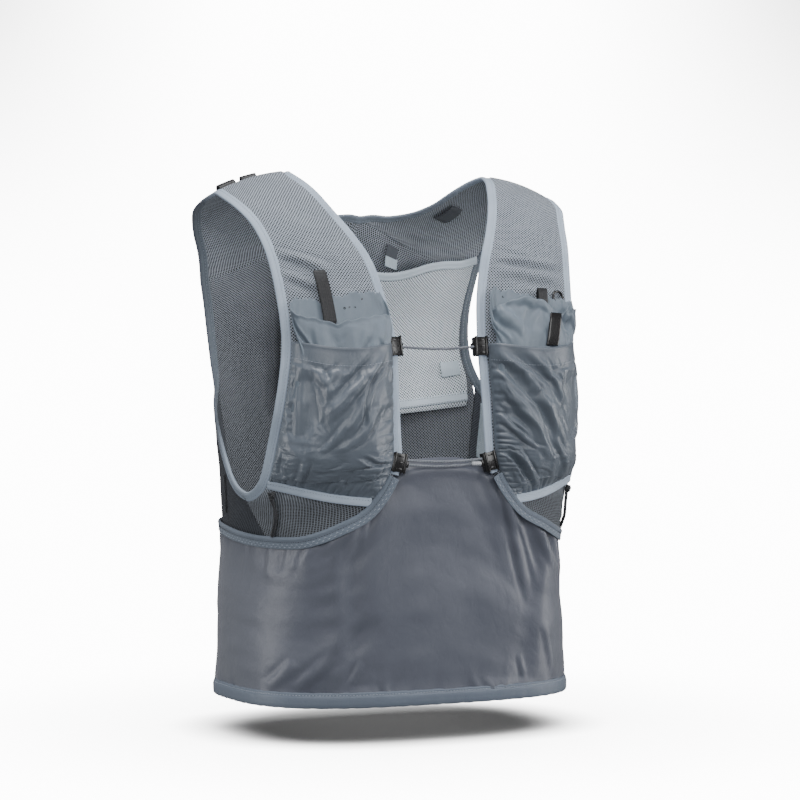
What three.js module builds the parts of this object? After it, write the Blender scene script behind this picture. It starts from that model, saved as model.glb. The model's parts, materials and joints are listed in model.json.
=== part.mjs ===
import * as THREE from 'three';

// A running hydration vest in its worn shape. Millimetres, +Z up, front towards -Y,
// origin between the shoulders at the height where the straps rest on them.

// Overall sizes
const shoulderHalfWidth = 182;
const frontReach = 128;
const backReach = 126;
const vestHeight = 514;

// Cloth and trim sizes
const wall = 1.6;
const gap = 0.4;
const bindingWidth = 9.5;
const bindingThickness = 4;
const wrapBindingWidth = 12;
const wrapBindingThickness = 2.4;

// Hem sizes
const hemBandHeight = 15;
const hemBandThickness = 5;
const hemHalfWidth = 172;
const hemFront = 127;
const hemBack = 104;
const hemSquareness = 3;

// Pocket sizes
const pocketBulge = 25;
const pocketLowerBulge = 21;
const pocketBindingWidth = 8;
const pocketBindingThickness = 3;
const sleeveDepth = 14.5;
const sleeveRuffle = 2.2;

// Back sleeve sizes
const backSleeveSpace = 5;
const sleeveBandWidth = 9;
const sleeveBandThickness = 2.4;

// Clip and cord sizes
const clipWidth = 15;
const clipHeight = 18;
const clipDepth = 8.4;
const cordDiameter = 3;
const cordSag = 2;
const cordSleeveLength = 9;
const sideCordDiameter = 3.6;
const laceDiameter = 2;
const knotDiameter = 7;
const ringDiameter = 15;
const ringWire = 2.6;
const cordSleeveDiameter = 4.4;

// Shares of shoulderHalfWidth, of frontReach or backReach, and of vestHeight downwards.
// One row per section: the inner edge point, the outer edge point, and how far the cloth
// stands out between them, as a share of shoulderHalfWidth.
// inX, inY, inZ, outX, outY, outZ, crown
const frontSections = [
  [0.615, 0.000, 0.000, 1.000, 0.000, 0.041, 0.022],
  [0.549, -0.250, 0.035, 0.975, -0.225, 0.062, 0.022],
  [0.484, -0.440, 0.080, 0.920, -0.415, 0.097, 0.027],
  [0.407, -0.600, 0.130, 0.886, -0.560, 0.140, 0.030],
  [0.349, -0.690, 0.172, 0.865, -0.640, 0.183, 0.033],
  [0.294, -0.780, 0.246, 0.846, -0.722, 0.250, 0.036],
  [0.264, -0.880, 0.331, 0.836, -0.778, 0.331, 0.038],
  [0.269, -0.938, 0.434, 0.870, -0.778, 0.434, 0.040],
  [0.270, -0.975, 0.510, 0.886, -0.690, 0.510, 0.042],
  [0.276, -0.995, 0.549, 0.896, -0.650, 0.545, 0.042],
  [0.330, -1.005, 0.593, 0.903, -0.610, 0.572, 0.038],
  [0.445, -1.000, 0.643, 0.910, -0.565, 0.590, 0.026],
  [0.600, -0.965, 0.672, 0.918, -0.505, 0.602, 0.018],
  [0.731, -0.830, 0.692, 0.927, -0.430, 0.611, 0.012],
  [0.850, -0.500, 0.697, 0.936, -0.330, 0.615, 0.006],
];

// The same columns for the back half, from the shoulder down to the waist, and how full
// the section is near its outer edge
const backSections = [
  [0.615, 0.000, 0.000, 1.000, 0.000, 0.041, 0.022, 0.000],
  [0.571, 0.095, 0.006, 0.996, 0.230, 0.050, 0.022, 0.000],
  [0.495, 0.230, 0.026, 0.978, 0.540, 0.072, 0.020, 0.000],
  [0.407, 0.373, 0.054, 0.920, 0.740, 0.112, 0.020, 0.000],
  [0.297, 0.476, 0.072, 0.868, 0.840, 0.148, 0.018, 0.000],
  [0.154, 0.532, 0.080, 0.846, 0.885, 0.176, 0.012, 0.000],
  [0.000, 0.550, 0.082, 0.832, 0.915, 0.205, 0.000, 0.000],
  [0.000, 0.780, 0.165, 0.810, 0.935, 0.244, -0.020, 0.004],
  [0.000, 0.900, 0.245, 0.793, 0.940, 0.292, -0.006, 0.008],
  [0.000, 0.975, 0.345, 0.786, 0.895, 0.350, 0.014, 0.012],
  [0.000, 1.000, 0.440, 0.800, 0.770, 0.408, 0.040, 0.020],
  [0.000, 0.940, 0.560, 0.755, 0.735, 0.541, 0.036, 0.024],
  [0.000, 0.860, 0.675, 0.715, 0.700, 0.675, 0.028, 0.026],
];

// The side panel's two long edges between the front and back sections
// x, y, z
const sideLower = [
  [0.895, -0.150, 0.692],
  [0.898, 0.160, 0.684],
  [0.842, 0.480, 0.678],
];
const sideUpper = [
  [0.938, -0.100, 0.594],
  [0.925, 0.190, 0.530],
  [0.875, 0.520, 0.462],
];

// The free front edge of the lower wrap between the lower clips, from the centre out
const frontEdge = [
  [0.000, -0.960, 0.538],
  [0.120, -0.960, 0.540],
  [0.225, -0.950, 0.549],
  [0.292, -0.955, 0.568],
];

// Folds of the pockets: place along the pocket, place across it, reach along, reach
// across, slant and height, the height as a share of pocketBulge.
// along, across, reachAlong, reachAcross, slant, height
const rightPocketFolds = [
  [0.18, 0.55, 0.34, 0.10, -0.55, 0.09],
  [0.32, 0.38, 0.40, 0.08, -0.60, -0.10],
  [0.45, 0.70, 0.30, 0.09, -0.45, 0.08],
  [0.62, 0.42, 0.28, 0.10, -0.35, -0.09],
  [0.75, 0.62, 0.24, 0.09, -0.20, 0.08],
  [0.84, 0.28, 0.18, 0.08, 0.10, -0.07],
];
const leftPocketFolds = [
  [0.22, 0.35, 0.36, 0.08, 0.75, 0.09],
  [0.34, 0.52, 0.38, 0.09, 0.70, -0.10],
  [0.50, 0.40, 0.34, 0.08, 0.60, 0.09],
  [0.60, 0.68, 0.30, 0.09, 0.45, -0.08],
  [0.74, 0.36, 0.24, 0.09, 0.25, 0.08],
  [0.86, 0.66, 0.18, 0.10, 0.05, -0.07],
];

// Pocket places as rows of frontSections: the mouth at each edge, the foot at each edge
const pocketMouthIn = 6.0;
const pocketMouthOut = 5.95;
const pocketFootIn = 10.45;
const pocketFootOut = 10.35;
const innerSleeveTop = 5.05;
const innerSleeveFoot = 7.2;

const vest = new THREE.Group();
const cloth = new THREE.MeshStandardMaterial({ color: '#6f7681', roughness: 0.62, metalness: 0 });
const mesh = new THREE.MeshStandardMaterial({ color: '#858d98', roughness: 0.85, metalness: 0 });
const edging = new THREE.MeshStandardMaterial({ color: '#97a2b2', roughness: 0.7, metalness: 0 });
const fitting = new THREE.MeshStandardMaterial({ color: '#15161a', roughness: 0.3, metalness: 0 });
const cordage = new THREE.MeshStandardMaterial({ color: '#8c9199', roughness: 0.75, metalness: 0 });
const liner = new THREE.MeshStandardMaterial({ color: '#7f92a8', roughness: 0.7, metalness: 0 });
const tagCloth = new THREE.MeshStandardMaterial({ color: '#3a3d44', roughness: 0.8, metalness: 0 });

function add(name, geometry, material) {
  const solid = new THREE.Mesh(geometry, material);
  solid.name = name;
  vest.add(solid);
}

function place(x, y, z, side) {
  const reach = y < 0 ? frontReach : backReach;
  return new THREE.Vector3(side * x * shoulderHalfWidth, y * reach, -z * vestHeight);
}

// A smooth curve through points, read by the number of the point
function through(points) {
  const curve = new THREE.CatmullRomCurve3(points, false, 'centripetal');
  const last = points.length - 1;
  return (index) => curve.getPoint(THREE.MathUtils.clamp(index / last, 0, 1));
}

// The value of a column at a place between two rows, eased
function between(values, index) {
  const low = Math.min(Math.floor(index), values.length - 2);
  const share = THREE.MathUtils.smoothstep(index - low, 0, 1);
  return values[low] * (1 - share) + values[low + 1] * share;
}

// A surface from section rows. It is read by row number and by the share across.
// face is -1 at the front and 1 at the back.
function sectionSurface(rows, side, face) {
  const inner = through(rows.map((r) => place(r[0], r[1], r[2], side)));
  const outer = through(rows.map((r) => place(r[3], r[4], r[5], side)));
  const crowns = rows.map((r) => r[6] * shoulderHalfWidth);
  const fullness = rows.map((r) => (r[7] ?? 0) * shoulderHalfWidth);
  const step = 0.02;
  const last = rows.length - 1;
  return (row, across) => {
    const a = inner(row);
    const b = outer(row);
    const ahead = Math.min(row + step, last);
    const behind = Math.max(row - step, 0);
    const run = inner(ahead).lerp(outer(ahead), 0.5);
    run.sub(inner(behind).lerp(outer(behind), 0.5));
    const out = b.clone().sub(a).cross(run).normalize().multiplyScalar(side * face);
    const lift = between(crowns, row) * 4 + between(fullness, row) * 6.75 * across;
    return a.lerp(b, across).addScaledVector(out, lift * across * (1 - across));
  };
}

// A point of a surface and its outward normal. flip is 1 or -1.
function stopOn(surface, u, v, flip, uMax) {
  const step = 0.01;
  const u0 = Math.max(u - step, 0);
  const u1 = Math.min(u + step, uMax);
  const v0 = Math.max(v - step, 0);
  const v1 = Math.min(v + step, 1);
  const along = surface(u1, v).sub(surface(u0, v));
  const across = surface(u, v1).sub(surface(u, v0));
  const normal = across.cross(along).normalize().multiplyScalar(flip);
  return { point: surface(u, v), normal };
}

// The stops of a surface between two places
function trailOn(stop, count, from, to) {
  const trail = [];
  for (let i = 0; i < count; i += 1) {
    const share = i / (count - 1);
    trail.push(stop(from[0] + (to[0] - from[0]) * share, from[1] + (to[1] - from[1]) * share));
  }
  return trail;
}

// Turns a list of faces with shared corners into a closed geometry with faces out
function closed(points, faces) {
  let volume = 0;
  for (const [a, b, c] of faces) {
    volume += points[a].dot(points[b].clone().cross(points[c])) / 6;
  }
  const corners = [];
  for (const [a, b, c] of faces) {
    const order = volume > 0 ? [a, b, c] : [a, c, b];
    for (const i of order) corners.push(points[i].x, points[i].y, points[i].z);
  }
  const geometry = new THREE.BufferGeometry();
  geometry.setAttribute('position', new THREE.Float32BufferAttribute(corners, 3));
  geometry.computeVertexNormals();
  return geometry;
}

// Thickens a sheet of four-cornered cells to a closed solid with a rim
function thicken(cells, thickness) {
  const keys = new Map();
  const points = [];
  const index = (p) => {
    const key = [p.x, p.y, p.z].map((n) => n.toFixed(3)).join();
    if (!keys.has(key)) {
      keys.set(key, points.length);
      points.push(p);
    }
    return keys.get(key);
  };
  const triangles = [];
  for (const [a, b, c, d] of cells.map((cell) => cell.map(index))) {
    triangles.push([a, b, c], [a, c, d]);
  }
  const normals = points.map(() => new THREE.Vector3());
  for (const t of triangles) {
    const [a, b, c] = t.map((i) => points[i]);
    const n = b.clone().sub(a).cross(c.clone().sub(a));
    for (const i of t) normals[i].add(n);
  }
  const count = points.length;
  const solid = [1, -1].flatMap((way) => points.map((p, i) => (
    p.clone().addScaledVector(normals[i].clone().normalize(), (way * thickness) / 2)
  )));
  const faces = [];
  const edges = new Map();
  for (const [a, b, c] of triangles) {
    faces.push([a, b, c], [a + count, c + count, b + count]);
    for (const [p, q] of [[a, b], [b, c], [c, a]]) {
      if (!edges.delete(`${q},${p}`)) edges.set(`${p},${q}`, [p, q]);
    }
  }
  for (const [p, q] of edges.values()) {
    faces.push([q, p, p + count], [q, p + count, q + count]);
  }
  return closed(solid, faces);
}

// The cells of a grid read from a function of two counters
function cellsOf(read, rows, columns, turned) {
  const grid = [];
  for (let i = 0; i <= rows; i += 1) {
    grid.push([]);
    for (let j = 0; j <= columns; j += 1) grid[i].push(read(i / rows, j / columns));
  }
  const cells = [];
  for (let i = 0; i < rows; i += 1) {
    for (let j = 0; j < columns; j += 1) {
      const cell = [grid[i][j], grid[i][j + 1], grid[i + 1][j + 1], grid[i + 1][j]];
      cells.push(turned ? cell.reverse() : cell);
    }
  }
  return cells;
}

// A flat, round-edged band along a path, lying square to the normals
const bandSection = [[1, 0], [0.62, 1], [-0.62, 1], [-1, 0], [-0.62, -1], [0.62, -1]];
function band(path, normals, width, thickness, isRing) {
  const last = path.length - 1;
  const points = [];
  path.forEach((p, i) => {
    const ahead = path[isRing ? (i + 1) % (last + 1) : Math.min(i + 1, last)];
    const behind = path[isRing ? (i + last) % (last + 1) : Math.max(i - 1, 0)];
    const run = ahead.clone().sub(behind).normalize();
    const up = normals[i].clone().addScaledVector(run, -normals[i].dot(run)).normalize();
    const over = run.clone().cross(up);
    for (const [w, t] of bandSection) {
      const point = p.clone().addScaledVector(over, (w * width) / 2);
      points.push(point.addScaledVector(up, (t * thickness) / 2));
    }
  });
  const sides = bandSection.length;
  const faces = [];
  const steps = isRing ? last + 1 : last;
  for (let i = 0; i < steps; i += 1) {
    const here = i * sides;
    const there = ((i + 1) % (last + 1)) * sides;
    for (let k = 0; k < sides; k += 1) {
      const next = (k + 1) % sides;
      faces.push([here + k, here + next, there + next], [here + k, there + next, there + k]);
    }
  }
  if (!isRing) {
    for (let k = 1; k < sides - 1; k += 1) {
      faces.push([0, k + 1, k], [last * sides, last * sides + k, last * sides + k + 1]);
    }
  }
  return closed(points, faces);
}

// Points and normals of a path, evenly spaced. A ring doesn't repeat its first point.
function evenly(trail, count, isRing) {
  const make = (list) => new THREE.CatmullRomCurve3(list, isRing, 'centripetal');
  const curve = make(trail.map((stop) => stop.point));
  const lean = make(trail.map((stop) => stop.normal));
  const steps = isRing ? count : count - 1;
  const path = [];
  const normals = [];
  for (let i = 0; i < count; i += 1) {
    const t = curve.getUtoTmapping(i / steps);
    path.push(curve.getPoint(t));
    normals.push(lean.getPoint(t).normalize());
  }
  return { path, normals };
}

// Offsets each point of a path along its normal
function lifted(path, normals, height) {
  return path.map((p, i) => p.clone().addScaledVector(normals[i], height));
}

const lastFront = frontSections.length - 1;
const lastBack = backSections.length - 1;
const neckStart = 9.45;
const wrapStart = 9.62;
const crossRow = 6;
const seamRow = 10;
const edgeInset = bindingWidth / 2 + gap + 0.7;

// Both sides' surfaces
function surfaces(side) {
  const front = sectionSurface(frontSections, side, -1);
  const back = sectionSurface(backSections, side, 1);
  const backSeam = (t) => back(lastBack - (lastBack - seamRow) * t, 1);
  const lowerPoints = sideLower.map(([x, y, z]) => place(x, y, z, side));
  const upperPoints = sideUpper.map(([x, y, z]) => place(x, y, z, side));
  const lower = through([front(lastFront, 0), ...lowerPoints, back(lastBack, 1)]);
  const upper = through([front(lastFront, 1), ...upperPoints, back(seamRow, 1)]);
  const flank = (u, t) => {
    const low = lower(u * (sideLower.length + 1));
    const high = upper(u * (sideUpper.length + 1));
    const start = front(lastFront, t);
    const end = backSeam(t);
    const point = low.clone().multiplyScalar(1 - t).addScaledVector(high, t);
    point.addScaledVector(start, 1 - u).addScaledVector(end, u);
    point.addScaledVector(lower(0), -(1 - u) * (1 - t));
    point.addScaledVector(upper(0), -(1 - u) * t);
    point.addScaledVector(back(lastBack, 1), -u * (1 - t));
    return point.addScaledVector(back(seamRow, 1), -u * t);
  };
  const frontStop = (u, v) => stopOn(front, u, v, -side, lastFront);
  const backStop = (u, v) => {
    const stop = stopOn(back, u, v, side, lastBack);
    if (v === 0 && u >= crossRow) stop.normal.setX(0).normalize();
    return stop;
  };
  const flankStop = (u, v) => stopOn(flank, u, v, -side, 1);
  return { side, front, back, flank, frontStop, backStop, flankStop };
}
const right = surfaces(-1);
const left = surfaces(1);

// The share of a row's width that an inset takes
function inset(surface, row, distance) {
  return distance / surface(row, 0).distanceTo(surface(row, 1));
}

// Moves a surface's point so that each long edge stands back by its own distance, square
// to the edge. The move fades out towards the middle.
function drawnIn(stop, row, across, lowDistance, highDistance, step, rowMax) {
  const moved = stop(row, across).point;
  for (const [edge, distance] of [[0, lowDistance], [1, highDistance]]) {
    const here = stop(row, edge);
    const ahead = stop(Math.min(row + step, rowMax), edge).point;
    const behind = stop(Math.max(row - step, 0), edge).point;
    const inward = ahead.sub(behind).cross(here.normal).normalize();
    const width = stop(row, 1 - edge).point.sub(here.point);
    const reach = Math.sign(inward.dot(width)) * distance;
    moved.addScaledVector(inward, reach * (edge ? across : 1 - across) ** 4);
  }
  return moved;
}

// A step along the rows that leaves half of the seam gap
function seamStep(surface, row, way) {
  const run = surface(row + way * 0.1, 0.5).distanceTo(surface(row, 0.5)) * 10;
  return (way * gap) / 2 / run;
}

// The front wing: shoulder strap above, pocket base below
function wingCells({ side, front, frontStop }) {
  const first = seamStep(front, 0, 1);
  const end = lastFront + seamStep(front, lastFront, -1);
  const read = (u, v) => {
    const row = first + (end - first) * u;
    const free = THREE.MathUtils.smoothstep(row, neckStart + 0.3, wrapStart + 0.7);
    const low = edgeInset * (1 - free) + gap * free;
    return drawnIn(frontStop, row, v, low, edgeInset, 0.05, lastFront);
  };
  return cellsOf(read, 26, 6, side > 0);
}

// The panel under each arm
function flankCells({ side, flank, flankStop }) {
  const width = flank(0, 0.5).distanceTo(flank(1, 0.5)) * 1.1;
  const start = gap / 2 / width;
  const end = (gap / 2 + wall * 0.5) / width;
  const read = (u, v) => {
    const along = start + (1 - start - end) * u;
    return drawnIn(flankStop, along, v, gap, edgeInset, 0.01, 1);
  };
  return cellsOf(read, 8, 4, side > 0);
}

// One half of the back. The halves share their middle column below crossRow.
function backCells({ side, back, backStop }) {
  const first = seamStep(back, 0, 1);
  const end = lastBack - gap / back(lastBack - 1, 0.5).distanceTo(back(lastBack, 0.5));
  const read = (row, v) => {
    const seam = THREE.MathUtils.smoothstep(row, seamRow + 0.1, seamRow + 0.45);
    const high = edgeInset * (1 - seam) + (gap / 2) * seam;
    const low = edgeInset * Math.max(0, Math.min(1, crossRow + 1 - row)) ** 2;
    const point = drawnIn(backStop, row, v, low, high, 0.05, lastBack);
    if (v === 0 && row >= crossRow) point.setX(0);
    return point;
  };
  const upper = (u, v) => read(first + (crossRow - first) * u, v);
  const below = (u, v) => read(crossRow + (end - crossRow) * u, v);
  return [...cellsOf(upper, 11, 6, side < 0), ...cellsOf(below, 10, 6, side < 0)];
}

// The edge path of one armhole, a ring over the shoulder and under the arm
function armholeTrail({ frontStop, flankStop, backStop }) {
  return [
    ...trailOn(frontStop, 26, [0, 1], [lastFront - 0.3, 1]),
    ...trailOn(flankStop, 8, [0.06, 1], [0.94, 1]),
    ...trailOn(backStop, 18, [seamRow - 0.2, 1], [0.35, 1]),
  ];
}

// Half of the neck edge, from the lower clip over the shoulder to the middle of the back
function neckTrail({ frontStop, backStop }) {
  return [
    ...trailOn(frontStop, 20, [neckStart, 0], [0.3, 0]),
    ...trailOn(backStop, 12, [0.3, 0], [crossRow, 0]),
  ];
}

// Half of the wrap's upper edge, from the lower clip round the side to the back
function waistTrail({ frontStop, flankStop, backStop }) {
  return [
    ...trailOn(frontStop, 14, [wrapStart, 0], [lastFront - 0.25, 0]),
    ...trailOn(flankStop, 7, [0.08, 0], [0.92, 0]),
    ...trailOn(backStop, 6, [lastBack, 0.94], [lastBack, 0]),
  ];
}

// Joins a right and a left half path that meet in the middle of the back
function joined(trailOf) {
  const leftHalf = trailOf(left).reverse();
  return [...trailOf(right), ...leftHalf.slice(1)];
}

// The hem ring, a rounded rectangle that is fuller in front
function hemPoint(x, y, z) {
  const depth = y < 0 ? hemFront : hemBack;
  const power = hemSquareness;
  const size = (Math.abs(x) ** power + Math.abs(y) ** power) ** (1 / power);
  return new THREE.Vector3((hemHalfWidth * x) / size, (depth * y) / size, z);
}

// Half of the wrap's top edge, from the middle of the front to the middle of the back
function wrapTop({ side, front, flank, back }) {
  const points = frontEdge.map(([x, y, z]) => place(x, y, z, side));
  for (let i = 0; i <= 9; i += 1) points.push(front(10.15 + (lastFront - 10.4) * (i / 9), 0));
  for (let i = 0; i <= 4; i += 1) points.push(flank(0.1 + 0.8 * (i / 4), 0));
  for (let i = 0; i <= 4; i += 1) points.push(back(lastBack, 0.92 * (1 - i / 4)));
  return points;
}

const seamDrop = 1.3;
function wrapCells(body) {
  const points = wrapTop(body);
  const curve = new THREE.CatmullRomCurve3(points, false, 'centripetal');
  const bottom = -(vestHeight - hemBandHeight - gap);
  const read = (u, v) => {
    const top = curve.getPointAt(v);
    top.z -= seamDrop;
    const low = hemPoint(top.x / shoulderHalfWidth, top.y / frontReach, bottom);
    return top.lerp(low, u);
  };
  return cellsOf(read, 6, 20, body.side > 0);
}

// The pocket's skin. along runs from the mouth to the foot, across from the strap's inner
// edge to the armhole.
const pocketInset = Math.max(edgeInset, wrapBindingWidth / 2 + gap) + 1.4;
function pocketSkin({ frontStop, front }, folds) {
  const seat = wall + gap;
  return (along, across) => {
    const mouth = pocketMouthIn + (pocketMouthOut - pocketMouthIn) * across;
    const foot = pocketFootIn + (pocketFootOut - pocketFootIn) * across;
    const dip = 0.16 * Math.sin(Math.PI * across);
    const row = mouth + (foot - mouth) * along + dip;
    const edge = inset(front, row, pocketInset);
    const stop = frontStop(row, edge + (1 - 2 * edge) * across);
    const swell = Math.sin(Math.PI * across) ** 0.42 * (1 - along ** 6);
    const reach = pocketBulge * (1 - along) + pocketLowerBulge * along;
    let fold = 0;
    for (const [a, c, reachAlong, reachAcross, slant, height] of folds) {
      const down = along - a;
      const over = across - c - slant * down;
      fold += height * Math.exp(-((down / reachAlong) ** 2) - (over / reachAcross) ** 2);
    }
    return stop.point.addScaledVector(stop.normal, seat + (reach + fold * pocketBulge) * swell);
  };
}

function pocketCells(body, folds) {
  const skin = pocketSkin(body, folds);
  const read = (u, v) => skin(u, (1 - Math.cos(Math.PI * v)) / 2);
  return cellsOf(read, 10, 10, body.side > 0);
}

// The path of the binding just below a pocket's foot
function pocketFootTrail({ frontStop, front }) {
  const trail = [];
  for (let i = 0; i <= 10; i += 1) {
    const across = i / 10;
    const foot = pocketFootIn + (pocketFootOut - pocketFootIn) * across;
    const row = foot + 0.16 * Math.sin(Math.PI * across);
    const edge = inset(front, row, pocketInset + 2);
    const place01 = edge + (1 - 2 * edge) * across;
    const run = front(row, place01).distanceTo(front(row + 0.2, place01)) * 5;
    const below = row + (pocketBindingWidth / 2 + wall + gap) / run;
    const stop = frontStop(below, place01);
    stop.point.addScaledVector(stop.normal, (wall + pocketBindingThickness) / 2 + gap + 0.2);
    trail.push(stop);
  }
  return trail;
}

// The gathered inner sleeve that stands out of a pocket, an oval tube
function sleeveCells({ side, frontStop, front }, tucks) {
  const read = (u, v) => {
    const turn = 2 * Math.PI * v;
    const free = (1 - u) ** 2;
    const clear = wall + gap + (sleeveRuffle + 0.4) * Math.min(1, 1.6 * (1 - u));
    const ripple = Math.sin(turn * tucks) * sleeveRuffle * free;
    const row = innerSleeveTop + (innerSleeveFoot - innerSleeveTop) * u + 0.05 * ripple * free;
    const across = 0.5 + (0.335 + inset(front, row, ripple * 0.4)) * Math.cos(turn);
    const stop = frontStop(row, across);
    const height = clear + sleeveDepth / 2 + (sleeveDepth / 2) * Math.sin(turn);
    return stop.point.addScaledVector(stop.normal, height + ripple * 0.7);
  };
  return cellsOf(read, 4, 24, side > 0);
}

// The bladder sleeve inside the back. Its top edge lies level, so it climbs the rows
// towards the armhole, and it reaches less far to the right than to the left.
const backSleeveTop = 6.98;
const backSleeveClimb = 2.7;
const backSleeveFoot = 10.38;
const backSleeveReachRight = 0.5;
const backSleeveReachLeft = 1;
const backSleeveSeat = wall + gap + 1.4;

// A place on the sleeve: u from its top to its foot, v from the middle to its side edge
function backSleeveStop({ side, backStop, back }, u, v, below, lift) {
  const reach = side < 0 ? backSleeveReachRight : backSleeveReachLeft;
  const share = reach * v;
  const top = backSleeveTop - backSleeveClimb * share ** 2.6;
  const row = top + (backSleeveFoot - top) * u + below;
  const stop = backStop(row, (1 - inset(back, row, edgeInset + 1.5)) * share);
  const space = backSleeveSeat + backSleeveSpace * Math.cos((Math.PI / 2) * share) + lift;
  stop.point.addScaledVector(stop.normal, -space);
  return stop;
}

function backSleeveCells(body) {
  return cellsOf((u, v) => backSleeveStop(body, u, v, 0, 0).point, 7, 6, body.side < 0);
}

function backSleeveEdge(u, below, lift) {
  const trailOf = (body) => {
    const trail = [];
    for (let i = 0; i <= 8; i += 1) trail.push(backSleeveStop(body, u, 1 - i / 8, below, lift));
    return trail;
  };
  return joined(trailOf);
}

for (const body of [right, left]) {
  const word = body.side < 0 ? 'right' : 'left';
  add(`front_wing_${word}`, thicken(wingCells(body), wall), mesh);
  add(`side_panel_${word}`, thicken(flankCells(body), wall), mesh);
  const armhole = evenly(armholeTrail(body), 46, true);
  const ring = band(armhole.path, armhole.normals, bindingWidth, bindingThickness, true);
  add(`armhole_binding_${word}`, ring, edging);
}
add('back_panel', thicken([...backCells(right), ...backCells(left)], wall), mesh);
add('wrap', thicken([...wrapCells(right), ...wrapCells(left)], wall), cloth);

const neck = evenly(joined(neckTrail), 52, false);
add('neck_binding', band(neck.path, neck.normals, bindingWidth, bindingThickness, false), edging);

const waist = evenly(joined(waistTrail), 54, false);
for (const normal of waist.normals) normal.setZ(normal.z * 0.5).normalize();
const waistLift = wall / 2 + gap + wrapBindingThickness / 2 + 1.6;
const waistPath = lifted(waist.path, waist.normals, waistLift);
const waistBand = band(waistPath, waist.normals, wrapBindingWidth, wrapBindingThickness, false);
add('wrap_binding', waistBand, edging);

const hemTrail = [];
for (let i = 0; i < 48; i += 1) {
  const turn = (2 * Math.PI * i) / 48;
  const point = hemPoint(Math.cos(turn), Math.sin(turn), -(vestHeight - hemBandHeight / 2));
  const ahead = hemPoint(Math.cos(turn + 0.01), Math.sin(turn + 0.01), point.z);
  const normal = ahead.sub(point).cross(new THREE.Vector3(0, 0, 1)).normalize();
  hemTrail.push({ point, normal });
}
const hem = evenly(hemTrail, 40, true);
add('hem_band', band(hem.path, hem.normals, hemBandHeight, hemBandThickness, true), cloth);

const pockets = [
  { body: right, folds: rightPocketFolds, word: 'right', tucks: 7 },
  { body: left, folds: leftPocketFolds, word: 'left', tucks: 6 },
];
for (const { body, folds, word, tucks } of pockets) {
  add(`pocket_${word}`, thicken(pocketCells(body, folds), wall), cloth);
  const foot = evenly(pocketFootTrail(body), 14, false);
  const strip = band(foot.path, foot.normals, pocketBindingWidth, pocketBindingThickness, false);
  add(`pocket_binding_${word}`, strip, edging);
  add(`pocket_sleeve_${word}`, thicken(sleeveCells(body, tucks), wall), liner);
}

add('back_sleeve', thicken([...backSleeveCells(right), ...backSleeveCells(left)], wall), mesh);
const sleeveLift = (wall + sleeveBandThickness) / 2 + gap + 0.7;
const sleeveEdges = {
  back_sleeve_binding: backSleeveEdge(0, 0.1, sleeveLift),
  back_sleeve_foot_band: backSleeveEdge(1, -0.15, sleeveLift),
};
for (const [name, trail] of Object.entries(sleeveEdges)) {
  const { path, normals } = evenly(trail, 20, false);
  add(name, band(path, normals, sleeveBandWidth, sleeveBandThickness, false), edging);
}

// A rail clip: a channel around the neck binding, open towards the strap's cloth
const clipArm = bindingWidth / 2 + 0.7;
const clipBack = clipWidth - clipArm;
function clip(side, stop, ahead, behind) {
  const outline = new THREE.Shape();
  const d = clipDepth / 2;
  const cut = 1.6;
  const slotDepth = bindingThickness / 2 + gap + 0.3;
  const slotBack = bindingWidth / 2 + gap + 0.4;
  const corners = [
    [clipArm, d - 0.6], [clipArm - 1.2, d], [-clipBack + cut, d], [-clipBack, d - cut],
    [-clipBack, -d + cut], [-clipBack + cut, -d], [clipArm - 1.2, -d], [clipArm, -d + 0.6],
    [clipArm, -slotDepth], [-slotBack, -slotDepth], [-slotBack, slotDepth], [clipArm, slotDepth],
  ];
  corners.forEach(([x, y], i) => (i ? outline.lineTo(side * x, y) : outline.moveTo(side * x, y)));
  const block = new THREE.ExtrudeGeometry(outline, { depth: clipHeight, bevelEnabled: false });
  block.translate(0, 0, -clipHeight / 2);
  const run = ahead.clone().sub(behind).normalize();
  const normal = stop.normal.clone().addScaledVector(run, -stop.normal.dot(run)).normalize();
  const over = normal.clone().cross(run);
  block.applyMatrix4(new THREE.Matrix4().makeBasis(over, normal, run).setPosition(stop.point));
  return block;
}

function rod(points, radius, steps, sides) {
  const section = new THREE.Shape();
  for (let k = 0; k < sides; k += 1) {
    const turn = (2 * Math.PI * k) / sides;
    const [x, y] = [radius * Math.cos(turn), radius * Math.sin(turn)];
    if (k) section.lineTo(x, y);
    else section.moveTo(x, y);
  }
  const extrudePath = new THREE.CatmullRomCurve3(points, false, 'centripetal');
  return new THREE.ExtrudeGeometry(section, { steps, extrudePath, bevelEnabled: false });
}

// A small flat patch between two rows and two places across, at a height over a surface
function patch(stopAt, rows, places, height, turned) {
  const read = (u, v) => {
    const row = rows[0] + (rows[1] - rows[0]) * u;
    const stop = stopAt(row, places[0] + (places[1] - places[0]) * v);
    return stop.point.addScaledVector(stop.normal, height);
  };
  return cellsOf(read, 2, 2, turned);
}

// The four clips on the neck binding, two to a side
const upperClipRow = 6.03;
const lowerClipRow = 8.98;
for (const { side, frontStop } of [right, left]) {
  const word = side < 0 ? 'right' : 'left';
  for (const [level, row] of [['upper', upperClipRow], ['lower', lowerClipRow]]) {
    const stop = frontStop(row, 0);
    const ahead = frontStop(row + 0.3, 0).point;
    const behind = frontStop(row - 0.3, 0).point;
    add(`${level}_clip_${word}`, clip(side, stop, ahead, behind), fitting);
  }
}

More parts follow.
